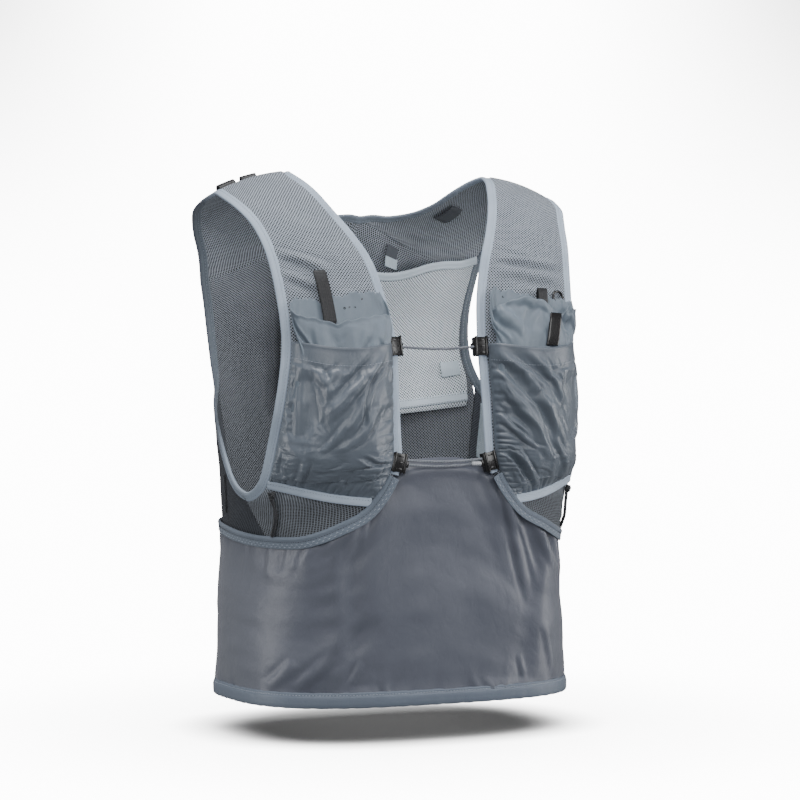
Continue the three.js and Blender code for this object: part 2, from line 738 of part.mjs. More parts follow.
// The chest cords run from clip to clip
const cordReach = clipBack + gap + 0.6;
function chestCordEnds(row, drop, shortfall) {
  const start = right.frontStop(row, 0).point.add(new THREE.Vector3(cordReach, -0.6, drop));
  const end = left.frontStop(row, 0).point;
  end.add(new THREE.Vector3(-cordReach - shortfall, -0.6, drop));
  return [start, end];
}
function chestCord(row, drop, shortfall) {
  const [start, end] = chestCordEnds(row, drop, shortfall);
  const points = [0, 0.25, 0.5, 0.75, 1].map((share) => {
    const sag = 4 * share * (1 - share);
    return start.clone().lerp(end, share).add(new THREE.Vector3(0, -2 * sag, -cordSag * sag));
  });
  return rod(points, cordDiameter / 2, 9, 8);
}
const strandRise = (cordSleeveDiameter + cordDiameter) / 4 + gap / 2 + 0.1;
add('upper_cord', chestCord(upperClipRow, 0, 0), cordage);
add('lower_cord_upper_strand', chestCord(lowerClipRow, strandRise, 0), cordage);
const shortfall = cordSleeveLength + gap;
add('lower_cord_lower_strand', chestCord(lowerClipRow, -strandRise, shortfall), cordage);
const sleeveEnd = chestCordEnds(lowerClipRow, -strandRise, 0)[1];
const sleeveStart = sleeveEnd.clone().setX(sleeveEnd.x - cordSleeveLength);
add('cord_end_sleeve', rod([sleeveStart, sleeveEnd], cordSleeveDiameter / 2, 2, 8), cordage);

// Small trim: rows, places across, clear height from the wall's middle, thickness
const onCloth = wall / 2 + gap;
const inSleeve = wall * 1.5 + gap * 2 + sleeveRuffle * 1.5;
const onSleeve = inSleeve + sleeveDepth;
const onBackSleeve = backSleeveSeat + backSleeveSpace * 0.35 + wall / 2 + gap;
const trims = [
  ['shoulder_tab_outer', right, 'backStop', [0.55, 0.95], [0.68, 0.86], onCloth, 5, fitting],
  ['shoulder_tab_inner', right, 'backStop', [0.55, 0.95], [0.40, 0.56], onCloth, 5, fitting],
  ['shoulder_loop', left, 'backStop', [2.6, 3.5], [0.16, 0.34], -onCloth, 1.6, tagCloth],
  ['tag_upper', left, 'backStop', [6.2, 6.5], [0.27, 0.36], -onCloth - 0.4, 1.2, tagCloth],
  ['tag_lower', left, 'backStop', [6.53, 6.72], [0.27, 0.36], -onCloth - 0.4, 1.2, edging],
  ['side_tab', left, 'backStop', [9.3, 9.75], [0.78, 0.92], -onBackSleeve, 1.4, liner],
  ['side_strap', left, 'flankStop', [0.84, 0.93], [0.46, 0.88], -onCloth - 0.2, 1.4, liner],
  ['flask_tab_right', right, 'frontStop', [4.35, 6.0], [0.56, 0.66], inSleeve, 3, fitting],
  ['flask_tab_left', left, 'frontStop', [4.75, 6.0], [0.56, 0.64], inSleeve, 3, fitting],
  ['pocket_pull', left, 'frontStop', [5.5, 6.0], [0.56, 0.68], onSleeve, 2.4, fitting],
];
for (const [name, body, stopName, rows, places, clear, thickness, material] of trims) {
  const height = clear + (Math.sign(clear) * thickness) / 2;
  const turned = body.side * (stopName === 'backStop' ? 1 : -1) < 0;
  add(name, thicken(patch(body[stopName], rows, places, height, turned), thickness), material);
}

// Points over a surface from pairs of row and place
function route(stopAt, places, height) {
  return places.map(([row, across]) => {
    const stop = stopAt(row, across);
    return stop.point.addScaledVector(stop.normal, height);
  });
}

// Cords at the sides, from the pocket's foot or the armhole down to the wrap binding
const sideCordPlaces = [[12.0, 0.80], [12.4, 0.70], [12.8, 0.58], [13.2, 0.44], [13.5, 0.30]];
const sideCordHeight = onCloth + sideCordDiameter / 2;
const knotPlace = [11.62, 0.84];
for (const [word, body] of [['right', right], ['left', left]]) {
  const points = route(body.frontStop, sideCordPlaces, sideCordHeight);
  add(`side_cord_${word}`, rod(points, sideCordDiameter / 2, 12, 8), fitting);
  const knot = new THREE.IcosahedronGeometry(knotDiameter / 2, 1);
  const [middle] = route(body.frontStop, [knotPlace], onCloth + knotDiameter / 2);
  knot.translate(middle.x, middle.y, middle.z);
  add(`side_knot_${word}`, knot, fitting);
}
const lacePlaces = [[0.42, 0.80], [0.43, 0.55], [0.46, 0.25]];
const lace = rod(route(right.flankStop, lacePlaces, onCloth + laceDiameter / 2), laceDiameter / 2, 8, 8);
add('side_lace', lace, fitting);

// A ring beside the left armhole binding, above the pocket
const wire = [];
for (let k = 0; k <= 6; k += 1) {
  const turn = (2 * Math.PI * k) / 6;
  const radius = (ringDiameter - ringWire) / 2 + (ringWire / 2) * Math.cos(turn);
  wire.push(new THREE.Vector2(radius, (ringWire / 2) * Math.sin(turn)));
}
const ring = new THREE.LatheGeometry(wire, 14);
const ringStop = left.frontStop(4.9, 0.84);
const upright = new THREE.Quaternion().setFromUnitVectors(new THREE.Vector3(0, 1, 0), ringStop.normal);
ring.applyQuaternion(upright);
const ringMiddle = ringStop.point.addScaledVector(ringStop.normal, onCloth + ringWire / 2 + 0.2);
ring.translate(ringMiddle.x, ringMiddle.y, ringMiddle.z);
add('pocket_ring', ring, fitting);

export default vest;
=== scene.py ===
# %% [markdown]
# A running hydration vest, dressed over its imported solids. The solids give every place
# and size. This script adds what the eye reads as cloth: mesh, gathers, folds, tape,
# stitches and moulded clips. Each piece is a fine grid that is laid over a surface
# function, because cloth is a sheet and a grid keeps its threads straight.

# %% Load the fixed frame
import json
import math

import bmesh
import bpy
import numpy as np
from mathutils import Matrix, Vector

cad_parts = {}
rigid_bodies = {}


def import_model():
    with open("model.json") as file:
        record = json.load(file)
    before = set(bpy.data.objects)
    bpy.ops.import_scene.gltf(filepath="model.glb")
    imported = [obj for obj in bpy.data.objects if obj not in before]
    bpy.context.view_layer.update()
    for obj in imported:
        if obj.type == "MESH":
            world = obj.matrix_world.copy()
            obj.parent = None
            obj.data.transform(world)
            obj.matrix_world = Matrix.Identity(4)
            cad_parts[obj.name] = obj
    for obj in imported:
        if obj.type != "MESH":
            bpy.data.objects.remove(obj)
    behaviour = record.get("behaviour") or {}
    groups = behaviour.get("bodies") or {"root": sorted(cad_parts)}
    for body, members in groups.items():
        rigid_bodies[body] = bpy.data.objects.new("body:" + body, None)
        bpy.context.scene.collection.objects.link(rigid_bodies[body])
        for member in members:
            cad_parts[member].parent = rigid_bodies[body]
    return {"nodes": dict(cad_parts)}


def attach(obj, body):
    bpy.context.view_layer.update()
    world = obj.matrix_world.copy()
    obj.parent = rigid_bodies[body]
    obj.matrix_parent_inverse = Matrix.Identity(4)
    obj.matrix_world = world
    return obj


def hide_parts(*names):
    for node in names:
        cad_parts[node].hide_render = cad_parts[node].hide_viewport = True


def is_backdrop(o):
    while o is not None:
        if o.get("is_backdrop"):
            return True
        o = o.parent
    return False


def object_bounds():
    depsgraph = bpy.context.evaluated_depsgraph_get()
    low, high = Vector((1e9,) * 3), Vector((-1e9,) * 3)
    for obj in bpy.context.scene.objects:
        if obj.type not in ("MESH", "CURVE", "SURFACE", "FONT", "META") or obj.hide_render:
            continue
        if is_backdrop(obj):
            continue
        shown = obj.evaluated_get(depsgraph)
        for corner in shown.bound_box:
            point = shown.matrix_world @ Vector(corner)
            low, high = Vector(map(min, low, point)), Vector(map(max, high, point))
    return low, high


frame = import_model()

cad_low, cad_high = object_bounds()
print("nodes", len(frame["nodes"]))

# %% [markdown]
# The sizes are in millimetres, as a pattern cutter writes them, and turn to metres only
# where a mesh is made. Each section row gives the inner edge, the outer edge and how far
# the cloth stands out between them, as shares of the vest's own sizes.

# %% Sizes and section rows
SHOULDER, FRONT, BACK, HEIGHT = 182.0, 128.0, 126.0, 514.0
WALL, GAP = 1.6, 0.4
TAPE_WIDTH, TAPE_THICK = 9.5, 4.0
WRAP_TAPE_WIDTH, WRAP_TAPE_THICK = 12.0, 2.4
HEM_BAND, HEM_THICK = 15.0, 5.0
HEM_X, HEM_FRONT, HEM_BACK, HEM_SQUARE = 172.0, 127.0, 104.0, 3.0
POCKET_OUT, POCKET_LOW = 25.0, 21.0

FRONT_ROWS = [
    (0.615, 0.000, 0.000, 1.000, 0.000, 0.041, 0.022),
    (0.549, -0.250, 0.035, 0.975, -0.225, 0.062, 0.022),
    (0.484, -0.440, 0.080, 0.920, -0.415, 0.097, 0.027),
    (0.407, -0.600, 0.130, 0.886, -0.560, 0.140, 0.030),
    (0.349, -0.690, 0.172, 0.865, -0.640, 0.183, 0.033),
    (0.294, -0.780, 0.246, 0.846, -0.722, 0.250, 0.036),
    (0.264, -0.880, 0.331, 0.836, -0.778, 0.331, 0.038),
    (0.269, -0.938, 0.434, 0.870, -0.778, 0.434, 0.040),
    (0.270, -0.975, 0.510, 0.886, -0.690, 0.510, 0.042),
    (0.276, -0.995, 0.549, 0.896, -0.650, 0.545, 0.042),
    (0.330, -1.005, 0.593, 0.903, -0.610, 0.572, 0.038),
    (0.445, -1.000, 0.643, 0.910, -0.565, 0.590, 0.026),
    (0.600, -0.965, 0.672, 0.918, -0.505, 0.602, 0.018),
    (0.731, -0.830, 0.692, 0.927, -0.430, 0.611, 0.012),
    (0.850, -0.500, 0.697, 0.936, -0.330, 0.615, 0.006),
]
BACK_ROWS = [
    (0.615, 0.000, 0.000, 1.000, 0.000, 0.041, 0.022, 0.000),
    (0.571, 0.095, 0.006, 0.996, 0.230, 0.050, 0.022, 0.000),
    (0.495, 0.230, 0.026, 0.978, 0.540, 0.072, 0.020, 0.000),
    (0.407, 0.373, 0.054, 0.920, 0.740, 0.112, 0.020, 0.000),
    (0.297, 0.476, 0.072, 0.868, 0.840, 0.148, 0.018, 0.000),
    (0.154, 0.532, 0.080, 0.846, 0.885, 0.176, 0.012, 0.000),
    (0.000, 0.550, 0.082, 0.832, 0.915, 0.205, 0.000, 0.000),
    (0.000, 0.780, 0.165, 0.810, 0.935, 0.244, -0.020, 0.004),
    (0.000, 0.900, 0.245, 0.793, 0.940, 0.292, -0.006, 0.008),
    (0.000, 0.975, 0.345, 0.786, 0.895, 0.350, 0.014, 0.012),
    (0.000, 1.000, 0.440, 0.800, 0.770, 0.408, 0.040, 0.020),
    (0.000, 0.940, 0.560, 0.755, 0.735, 0.541, 0.036, 0.024),
    (0.000, 0.860, 0.675, 0.715, 0.700, 0.675, 0.028, 0.026),
]
SIDE_LOWER = [(0.895, -0.150, 0.692), (0.898, 0.160, 0.684), (0.842, 0.480, 0.678)]
SIDE_UPPER = [(0.938, -0.100, 0.594), (0.925, 0.190, 0.530), (0.875, 0.520, 0.462)]
FREE_EDGE = [(0.000, -0.960, 0.538), (0.120, -0.960, 0.540), (0.225, -0.950, 0.549), (0.292, -0.955, 0.568)]
LAST_FRONT, LAST_BACK = len(FRONT_ROWS) - 1, len(BACK_ROWS) - 1
NECK_START, WRAP_START, CROSS_ROW, SEAM_ROW = 9.45, 9.62, 6, 10
print("section rows", len(FRONT_ROWS), len(BACK_ROWS))

# %% [markdown]
# A seam on a body is never straight, so the edges are smooth curves through the section
# points. This is the centripetal form of the Catmull-Rom curve, which never loops or
# overshoots where the points stand close together.

# %% Curves and surfaces


def placed(x, y, z, side):
    return np.array([side * x * SHOULDER, y * (FRONT if y < 0 else BACK), -z * HEIGHT])


def smooth_curve(points):
    """A curve through points, read by the number of the point, for arrays of numbers."""
    p = np.array(points, float)
    p = np.vstack([2 * p[0] - p[1], p, 2 * p[-1] - p[-2]])
    gaps = np.linalg.norm(np.diff(p, axis=0), axis=1) ** 0.5

    def read(t):
        t = np.clip(np.asarray(t, float), 0, len(points) - 1)
        k = np.minimum(np.floor(t).astype(int), len(points) - 2)
        w = (t - k)[..., None]
        p0, p1, p2, p3 = p[k], p[k + 1], p[k + 2], p[k + 3]
        d0, d1, d2 = gaps[k][..., None], gaps[k + 1][..., None], gaps[k + 2][..., None]
        m1 = ((p1 - p0) / d0 - (p2 - p0) / (d0 + d1) + (p2 - p1) / d1) * d1
        m2 = ((p2 - p1) / d1 - (p3 - p1) / (d1 + d2) + (p3 - p2) / d2) * d1
        return p1 + m1 * w + (3 * (p2 - p1) - 2 * m1 - m2) * w**2 + (2 * (p1 - p2) + m1 + m2) * w**3

    return read


def ease(x, low=0.0, high=1.0):
    t = np.clip((np.asarray(x, float) - low) / (high - low), 0, 1)
    return t * t * (3 - 2 * t)


def eased_column(values, row):
    values = np.array(values, float)
    k = np.minimum(np.floor(row).astype(int), len(values) - 2)
    share = ease(row - k)
    return values[k] * (1 - share) + values[k + 1] * share


def unit(v):
    return v / np.maximum(np.linalg.norm(v, axis=-1, keepdims=True), 1e-12)


def run_length(path):
    """The distance along a path at each of its points."""
    return np.concatenate([[0], np.cumsum(np.linalg.norm(np.diff(path, axis=0), axis=1))])


def width_of(surface, row):
    return np.linalg.norm(surface(row, 1.0) - surface(row, 0.0), axis=-1)


def section_surface(rows, side, face):
    inner = smooth_curve([placed(*r[0:3], side) for r in rows])
    outer = smooth_curve([placed(*r[3:6], side) for r in rows])
    crowns = [r[6] * SHOULDER for r in rows]
    fullness = [(r[7] if len(r) > 7 else 0) * SHOULDER for r in rows]
    last = len(rows) - 1

    def read(row, across):
        row, across = np.broadcast_arrays(np.asarray(row, float), np.asarray(across, float))
        row = np.clip(row, 0, last)
        a, b = inner(row), outer(row)
        ahead, behind = np.minimum(row + 0.02, last), np.maximum(row - 0.02, 0)
        run = (inner(ahead) + outer(ahead) - inner(behind) - outer(behind)) / 2
        out = unit(np.cross(b - a, run)) * side * face
        lift = eased_column(crowns, row) * 4 + eased_column(fullness, row) * 6.75 * across
        t = across[..., None]
        return a * (1 - t) + b * t + out * (lift * across * (1 - across))[..., None]

    return read


def flank_surface(side, front, back):
    low_points = [front(LAST_FRONT, 0.0)] + [placed(*p, side) for p in SIDE_LOWER] + [back(LAST_BACK, 1.0)]
    high_points = [front(LAST_FRONT, 1.0)] + [placed(*p, side) for p in SIDE_UPPER] + [back(SEAM_ROW, 1.0)]
    lower, upper = smooth_curve(low_points), smooth_curve(high_points)

    def read(u, t):
        u, t = np.broadcast_arrays(np.asarray(u, float), np.asarray(t, float))
        low, high = lower(u * 4), upper(u * 4)
        start = front(np.full(t.shape, LAST_FRONT), t)
        end = back(LAST_BACK - (LAST_BACK - SEAM_ROW) * t, np.ones(t.shape))
        a, b = u[..., None], t[..., None]
        corners = (1 - a) * (1 - b) * low_points[0] + (1 - a) * b * high_points[0]
        corners = corners + a * (1 - b) * low_points[-1] + a * b * high_points[-1]
        return low * (1 - b) + high * b + start * (1 - a) + end * a - corners

    return read


def stop_on(surface, u, v, flip, u_max):
    """A point of a surface and its outward normal."""
    u, v = np.broadcast_arrays(np.asarray(u, float), np.asarray(v, float))
    d = 0.01
    along = surface(np.minimum(u + d, u_max), v) - surface(np.maximum(u - d, 0), v)
    across = surface(u, np.minimum(v + d, 1)) - surface(u, np.maximum(v - d, 0))
    return surface(u, v), unit(np.cross(across, along)) * flip


class Side:
    """The front, back and flank surfaces of one side of the body."""

    def __init__(self, sign):
        self.sign = sign
        self.word = "right" if sign < 0 else "left"
        self.front = section_surface(FRONT_ROWS, sign, -1)
        self.back = section_surface(BACK_ROWS, sign, 1)
        self.flank = flank_surface(sign, self.front, self.back)

    def front_stop(self, u, v):
        return stop_on(self.front, u, v, -self.sign, LAST_FRONT)

    def back_stop(self, u, v):
        point, normal = stop_on(self.back, u, v, self.sign, LAST_BACK)
        middle = (np.broadcast_to(v, normal.shape[:-1]) == 0) & (np.broadcast_to(u, normal.shape[:-1]) >= CROSS_ROW)
        normal = normal.copy()
        normal[middle, 0] = 0
        return point, unit(normal)

    def flank_stop(self, u, v):
        return stop_on(self.flank, u, v, -self.sign, 1)


RIGHT, LEFT = Side(-1), Side(1)
print("crest to hem, mm", HEIGHT)

# %% [markdown]
# Every cloth piece starts as one of Blender's grids. Its corners are numbered in two
# directions, so a function of those two numbers can lay it anywhere, and the same two
# numbers give the UV map in metres that the threads follow.

# %% Grid pieces


def grid_normals(points):
    along = np.gradient(points, axis=0)
    across = np.gradient(points, axis=1)
    return unit(np.cross(across, along))


def arc_uv(points, ring=False):
    """UV in metres: v runs down the middle column and u runs out from it along each row."""
    rows, columns = points.shape[:2]
    steps = np.linalg.norm(np.diff(points, axis=1), axis=2)
    u = np.concatenate([np.zeros((rows, 1)), np.cumsum(steps, axis=1)], axis=1)
    if not ring:
        u = u - u[:, columns // 2][:, None]
    down = np.linalg.norm(np.diff(points, axis=0), axis=2).mean(axis=1)
    v = np.concatenate([[0], np.cumsum(down)])[:, None] * np.ones((1, columns))
    return np.stack([u, v], axis=-1) * 0.001


def added_object(name, bm):
    """An object in the scene from a bmesh, which is then let go."""
    mesh = bpy.data.meshes.new(name)
    bm.to_mesh(mesh)
    bm.free()
    piece = bpy.data.objects.new(name, mesh)
    bpy.context.scene.collection.objects.link(piece)
    return piece


def grid_piece(name, points, uv=None, ring=False):
    """An object from a table of points in mm. A ring joins its last column to its first."""
    rows, columns = points.shape[0] - 1, points.shape[1] - 1
    bm = bmesh.new()
    bmesh.ops.create_grid(bm, x_segments=columns, y_segments=rows, size=0.5, calc_uvs=True)
    layer = bm.loops.layers.uv.active or bm.loops.layers.uv.new("UVMap")
    uv = arc_uv(points, ring) if uv is None else uv
    place = {}
    for vert in bm.verts:
        place[vert.index] = (round((vert.co.y + 0.5) * rows), round((vert.co.x + 0.5) * columns))
    for face in bm.faces:
        for loop in face.loops:
            loop[layer].uv = uv[place[loop.vert.index]]
    for vert in bm.verts:
        vert.co = points[place[vert.index]] * 0.001
    if ring:
        bmesh.ops.remove_doubles(bm, verts=bm.verts, dist=1e-6)
    for face in bm.faces:
        face.smooth = True
    piece = added_object(name, bm)
    piece.data.uv_layers[0].name = "UVMap"
    return piece


def thickened(piece, thickness):
    wall = piece.modifiers.new("wall", "SOLIDIFY")
    wall.thickness = thickness * 0.001
    wall.offset = 0.0
    wall.use_even_offset = False
    return piece


def hand_over(piece, nodes, material):
    """Gives a piece its body, its finish and the solids that it stands for."""
    piece.data.materials.append(material)
    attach(piece, "root")
    if nodes:
        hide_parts(*nodes)
    print(piece.name, len(piece.data.polygons))
    return piece


def ripple_noise(shape, cells, seed):
    """Smooth noise over a grid, from -1 to 1, with a chosen number of cells each way."""
    local = np.random.default_rng(seed)
    coarse = local.uniform(-1, 1, (cells[0] + 3, cells[1] + 3))
    y = np.linspace(0, cells[0], shape[0])
    x = np.linspace(0, cells[1], shape[1])
    yi, xi = np.minimum(y.astype(int), cells[0] - 1), np.minimum(x.astype(int), cells[1] - 1)
    fy, fx = ease(y - yi)[:, None], ease(x - xi)[None, :]
    a = coarse[np.ix_(yi, xi)]
    b = coarse[np.ix_(yi, xi + 1)]
    c = coarse[np.ix_(yi + 1, xi)]
    d = coarse[np.ix_(yi + 1, xi + 1)]
    return (a * (1 - fx) + b * fx) * (1 - fy) + (c * (1 - fx) + d * fx) * fy


def fold_field(u, v, folds):
    """Sum of soft ridges. A row is start u, start v, end u, end v, half width, height."""
    total = np.zeros(np.broadcast(u, v).shape)
    for u0, v0, u1, v1, width, height in folds:
        du, dv = u1 - u0, v1 - v0
        length = math.hypot(du, dv)
        along = ((u - u0) * du + (v - v0) * dv) / length**2
        off = ((u - u0) * dv - (v - v0) * du) / length
        bend = 0.12 * width * np.sin(along * 5.0 + u0 * 40)
        fade = np.clip(1 - np.abs(along * 2 - 1) ** 3, 0, 1)
        place = (off + bend) / width
        ridge = 1 / (1 + (place * 1.25) ** 4) - 0.55 * np.exp(-(((place - 1.35) / 0.55) ** 2))
        total = total + height * fade * ridge
    return total


print("grid helpers ready")

# %% [markdown]
# Every finish is a small tree of shader nodes. These helpers add one node each and hand
# back what comes out of it, so a finish reads as a few lines from the UV map to the
# shader.

# %% Shader helpers


def colour(hex_text):
    """An sRGB hex value as the linear colour that the shader needs."""
    parts = [int(hex_text[i : i + 2], 16) / 255 for i in (1, 3, 5)]
    return tuple(p / 12.92 if p <= 0.04045 else ((p + 0.055) / 1.055) ** 2.4 for p in parts) + (1.0,)


def add_node(material, kind, inputs=None):
    """Adds a node. A socket given as a value is linked, and any other value is set."""
    made = material.node_tree.nodes.new("ShaderNode" + kind)
    for key, value in (inputs or {}).items():
        if isinstance(value, bpy.types.NodeSocket):
            material.node_tree.links.new(value, made.inputs[key])
        elif isinstance(key, str) and hasattr(made, key):
            setattr(made, key, value)
        else:
            made.inputs[key].default_value = value
    return made.outputs


def maths(material, operation, *values):
    return add_node(material, "Math", {"operation": operation, **dict(enumerate(values))})[0]


def vector_maths(material, operation, *values, out="Vector"):
    return add_node(material, "VectorMath", {"operation": operation, **dict(enumerate(values))})[out]


def scaled_vector(material, vector, scale):
    return add_node(material, "VectorMath", {"operation": "SCALE", 0: vector, "Scale": scale})[0]


def mapped(material, value, low, high, to_low=0.0, to_high=1.0, kind="SMOOTHSTEP"):
    """A value taken from one range to another."""
    bounds = {1: low, 2: high, 3: to_low, 4: to_high}
    return add_node(material, "MapRange", {"interpolation_type": kind, **bounds, "Value": value})[0]


def object_axis(material, axis):
    return add_node(material, "SeparateXYZ", {0: add_node(material, "TexCoord")["Object"]})[axis]


def add_mix(material, share, low, high):
    return add_node(material, "Mix", {"data_type": "RGBA", 6: colour(low), 7: colour(high), 0: share})[2]


def add_bump(material, shader, height, strength, distance, under=None):
    under = {} if under is None else {"Normal": under}
    bump = add_node(material, "Bump", {"Strength": strength, "Distance": distance, "Height": height, **under})["Normal"]
    paint(material, shader, bump, "Normal")
    return bump


def paint(material, shader, source, socket="Base Color"):
    material.node_tree.links.new(source, shader.inputs[socket])


def new_finish(name, **sockets):
    material = bpy.data.materials.new(name)
    material.use_nodes = True
    shader = material.node_tree.nodes["Principled BSDF"]
    for key, value in sockets.items():
        shader.inputs[key.replace("_", " ").title().replace("Ior", "IOR")].default_value = value
    return material, shader


print("shader helpers ready")

# %% [markdown]
# The camera stands where the photographer's did: 25 degrees round to the wearer's right,
# level, with a long lens, so the straps don't spread. The vest hovers a little over a
# white sweep, so the light comes from large soft panels and from the floor itself. The
# backdrop darkens only towards its two upper corners.

# %% Camera, floor and light
AROUND = math.radians(-25)
AWAY, EYE = 2.75, -0.170
SENSOR, SPAN, PICTURE = 36, 0.8, 800
back_way = Vector((math.sin(AROUND), -math.cos(AROUND), 0))
right_way = Vector((math.cos(AROUND), math.sin(AROUND), 0))

lens = bpy.data.cameras.new("view")
lens.lens = SENSOR * AWAY / SPAN
lens.sensor_width = SENSOR
lens.shift_x = 12 / PICTURE
lens.shift_y = -55 / PICTURE
camera = bpy.data.objects.new("view", lens)
camera.location = back_way * AWAY + Vector((0, 0, EYE))
camera.rotation_euler = (math.pi / 2, 0, AROUND)
bpy.context.scene.collection.objects.link(camera)
bpy.context.scene.camera = camera
FLOOR = -0.548
BACKDROP_LOW, BACKDROP_HIGH, FLOOR_POWER = 13.5, 2.0, 2100


def soft_panel(name, place, aim, size, power):
    light = bpy.data.lights.new(name, "AREA")
    light.shape, light.size, light.size_y, light.energy = "RECTANGLE", size[0], size[1], power
    lamp = bpy.data.objects.new(name, light)
    lamp.location = place
    lamp.rotation_euler = (Vector(aim) - Vector(place)).to_track_quat("-Z", "Y").to_euler()
    bpy.context.scene.collection.objects.link(lamp)
    return lamp


def stage_sheet(name, material, size, height, ball=False):
    """A floor disc or a backdrop ball, which isn't part of the vest."""
    bm = bmesh.new()
    if ball:
        bmesh.ops.create_uvsphere(bm, u_segments=48, v_segments=32, radius=size)
        bmesh.ops.reverse_faces(bm, faces=bm.faces)
    else:
        bmesh.ops.create_circle(bm, cap_ends=True, segments=96, radius=size)
    for face in bm.faces:
        face.smooth = True
    sheet = added_object(name, bm)
    sheet.data.transform(Matrix.Translation((0, 0, height)))
    sheet.data.materials.append(material)
    sheet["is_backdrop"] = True
    return sheet


backdrop_paper = bpy.data.materials.new("lit_white_backdrop")
backdrop_paper.use_nodes = True
backdrop_paper.node_tree.nodes.clear()
place = add_node(backdrop_paper, "TexCoord")["Object"]
# Painted shade: the backdrop's glow is turned down towards its two upper corners, where less light falls on the paper.
aside = vector_maths(backdrop_paper, "DOT_PRODUCT", place, tuple(right_way), out="Value")
aside = mapped(backdrop_paper, maths(backdrop_paper, "ABSOLUTE", aside), 0.35, 1.5)
above = mapped(backdrop_paper, object_axis(backdrop_paper, 2), -0.3, 1.2)
corner = maths(backdrop_paper, "MULTIPLY", aside, above)
glow = mapped(backdrop_paper, corner, 0.0, 1.0, BACKDROP_LOW, BACKDROP_HIGH, "LINEAR")
shine = add_node(backdrop_paper, "Emission", {"Color": colour("#ffffff"), "Strength": glow})[0]
add_node(backdrop_paper, "OutputMaterial", {"Surface": shine})
backdrop = stage_sheet("backdrop", backdrop_paper, 6.0, 0.0, True)
backdrop.visible_diffuse = backdrop.visible_glossy = backdrop.visible_shadow = False
backdrop.visible_transmission = False

floor_paper, floor_shader = new_finish("matt_white_paper", base_color=colour("#f2f2f2"), roughness=0.95)
flat = vector_maths(floor_paper, "MULTIPLY", add_node(floor_paper, "TexCoord")["Object"], (1, 1, 0))
away = vector_maths(floor_paper, "LENGTH", flat, out="Value")
paint(floor_paper, floor_shader, mapped(floor_paper, away, 0.30, 0.62, 1.0, 0.0), "Alpha")
# Painted shadow: inside a rounded box under the hem, the paper's colour turns from white to dark grey. This is a
# contact shadow painted into the floor.
ratio = vector_maths(floor_paper, "ABSOLUTE", vector_maths(floor_paper, "DIVIDE", flat, (0.182, 0.142, 1)))
power = vector_maths(floor_paper, "POWER", ratio, (2.6, 2.6, 1))
total = vector_maths(floor_paper, "DOT_PRODUCT", power, (1, 1, 0), out="Value")
near = mapped(floor_paper, total, 0.40, 1.75)
paint(floor_paper, floor_shader, add_mix(floor_paper, near, "#303030", "#f2f2f2"))
floor = stage_sheet("floor", floor_paper, 0.7, FLOOR)
floor.visible_diffuse = floor.visible_glossy = False

world = bpy.data.worlds.new("studio")
world.use_nodes = True
world.node_tree.nodes["Background"].inputs["Color"].default_value = colour("#eef1f6")
world.node_tree.nodes["Background"].inputs["Strength"].default_value = 0.26
bpy.context.scene.world = world


def toward(side_ways, back_ways, height):
    return tuple(right_way * side_ways + back_way * back_ways + Vector((0, 0, height)))


soft_panel("overhead", toward(-0.1, 0.5, 1.5), (0, 0, -0.1), (1.1, 0.9), 31)
soft_panel("front_right", toward(1.8, 1.3, 0.6), (0, 0, -0.25), (0.9, 1.2), 20)
soft_panel("front_fill", toward(-0.1, 2.6, 0.5), (0, 0, -0.2), (1.6, 1.2), 26)
rim_left = soft_panel("rim_left", toward(-1.9, 0.5, -0.3), (0, 0, -0.38), (0.8, 1.0), 15)
soft_panel("rim_right", toward(1.9, -0.2, -0.3), (0, 0, -0.3), (0.4, 1.4), 17)
lamp = soft_panel("floor_light", (0, 0, 1.6), (0, 0, FLOOR), (6.0, 6.0), FLOOR_POWER)
only_floor = bpy.data.collections.new("floor_only")
only_floor.objects.link(floor)
lamp.light_linking.receiver_collection = only_floor
print("view", bpy.context.scene.view_settings.view_transform, bpy.context.scene.view_settings.look)
print("camera mm", round(lens.lens, 2))

# %% [markdown]
# The body of the vest is a warp-knitted mesh: threads that cross on the diagonal and
# leave small dark holes. The pattern is the smaller of two sine waves that run along the
# two diagonals, read from the UV map in metres, so the holes keep their spacing on every
# piece. Holes are about 3 mm apart, which is three of the picture's pixels. The inside
# of the back and the foot of the straps are shaded by height, as they are in the shade.

# %% Mesh, woven, tape and moulded finishes


def uv_place(material):
    return add_node(material, "UVMap", {"uv_map": "UVMap"})["UV"]


def noise_on(material, vector, **settings):
    return add_node(material, "TexNoise", {**settings, "Vector": vector})


def two_waves(material, vector, scale, turn=0.0, folded=False):
    """Sine waves along the two axes of a place, turned by an angle and folded up if asked."""
    wave = add_node(material, "Mapping", {"Rotation": (0, 0, turn), "Scale": scale, "Vector": vector})[0]
    wave = vector_maths(material, "SINE", wave)
    if folded:
        wave = vector_maths(material, "ABSOLUTE", wave)
    split = add_node(material, "SeparateXYZ", {0: wave})
    return split[0], split[1]


def warp_knit_mesh(name, thread_dark, thread_light, hole, pitch, shade=None):
    """Polyester warp-knit mesh: pale round threads over dark holes, dull and slightly fuzzy."""
    material, shader = new_finish(name, roughness=0.8, sheen_weight=0.06, sheen_roughness=0.5)
    flat = uv_place(material)
    wobble = noise_on(material, flat, Scale=60.0, Detail=2.0)["Color"]
    moved = vector_maths(material, "ADD", flat, scaled_vector(material, wobble, 0.0012))
    rate = math.pi * math.sqrt(2) / (pitch * 0.001)
    waves = two_waves(material, moved, (rate, rate, rate), math.pi / 4, True)
    opening = mapped(material, maths(material, "MINIMUM", *waves), 0.38, 0.62)
    thread = add_mix(material, noise_on(material, flat, Scale=22.0, Detail=3.0)["Fac"], thread_dark, thread_light)
    base = add_node(material, "Mix", {"data_type": "RGBA", 7: colour(hole), 0: opening, 6: thread})[2]
    if shade:
        base = scaled_vector(material, base, mapped(material, object_axis(material, 2), *shade))
    paint(material, shader, base)
    add_bump(material, shader, maths(material, "SUBTRACT", 1.0, opening), 0.8, 0.0006)
    return material


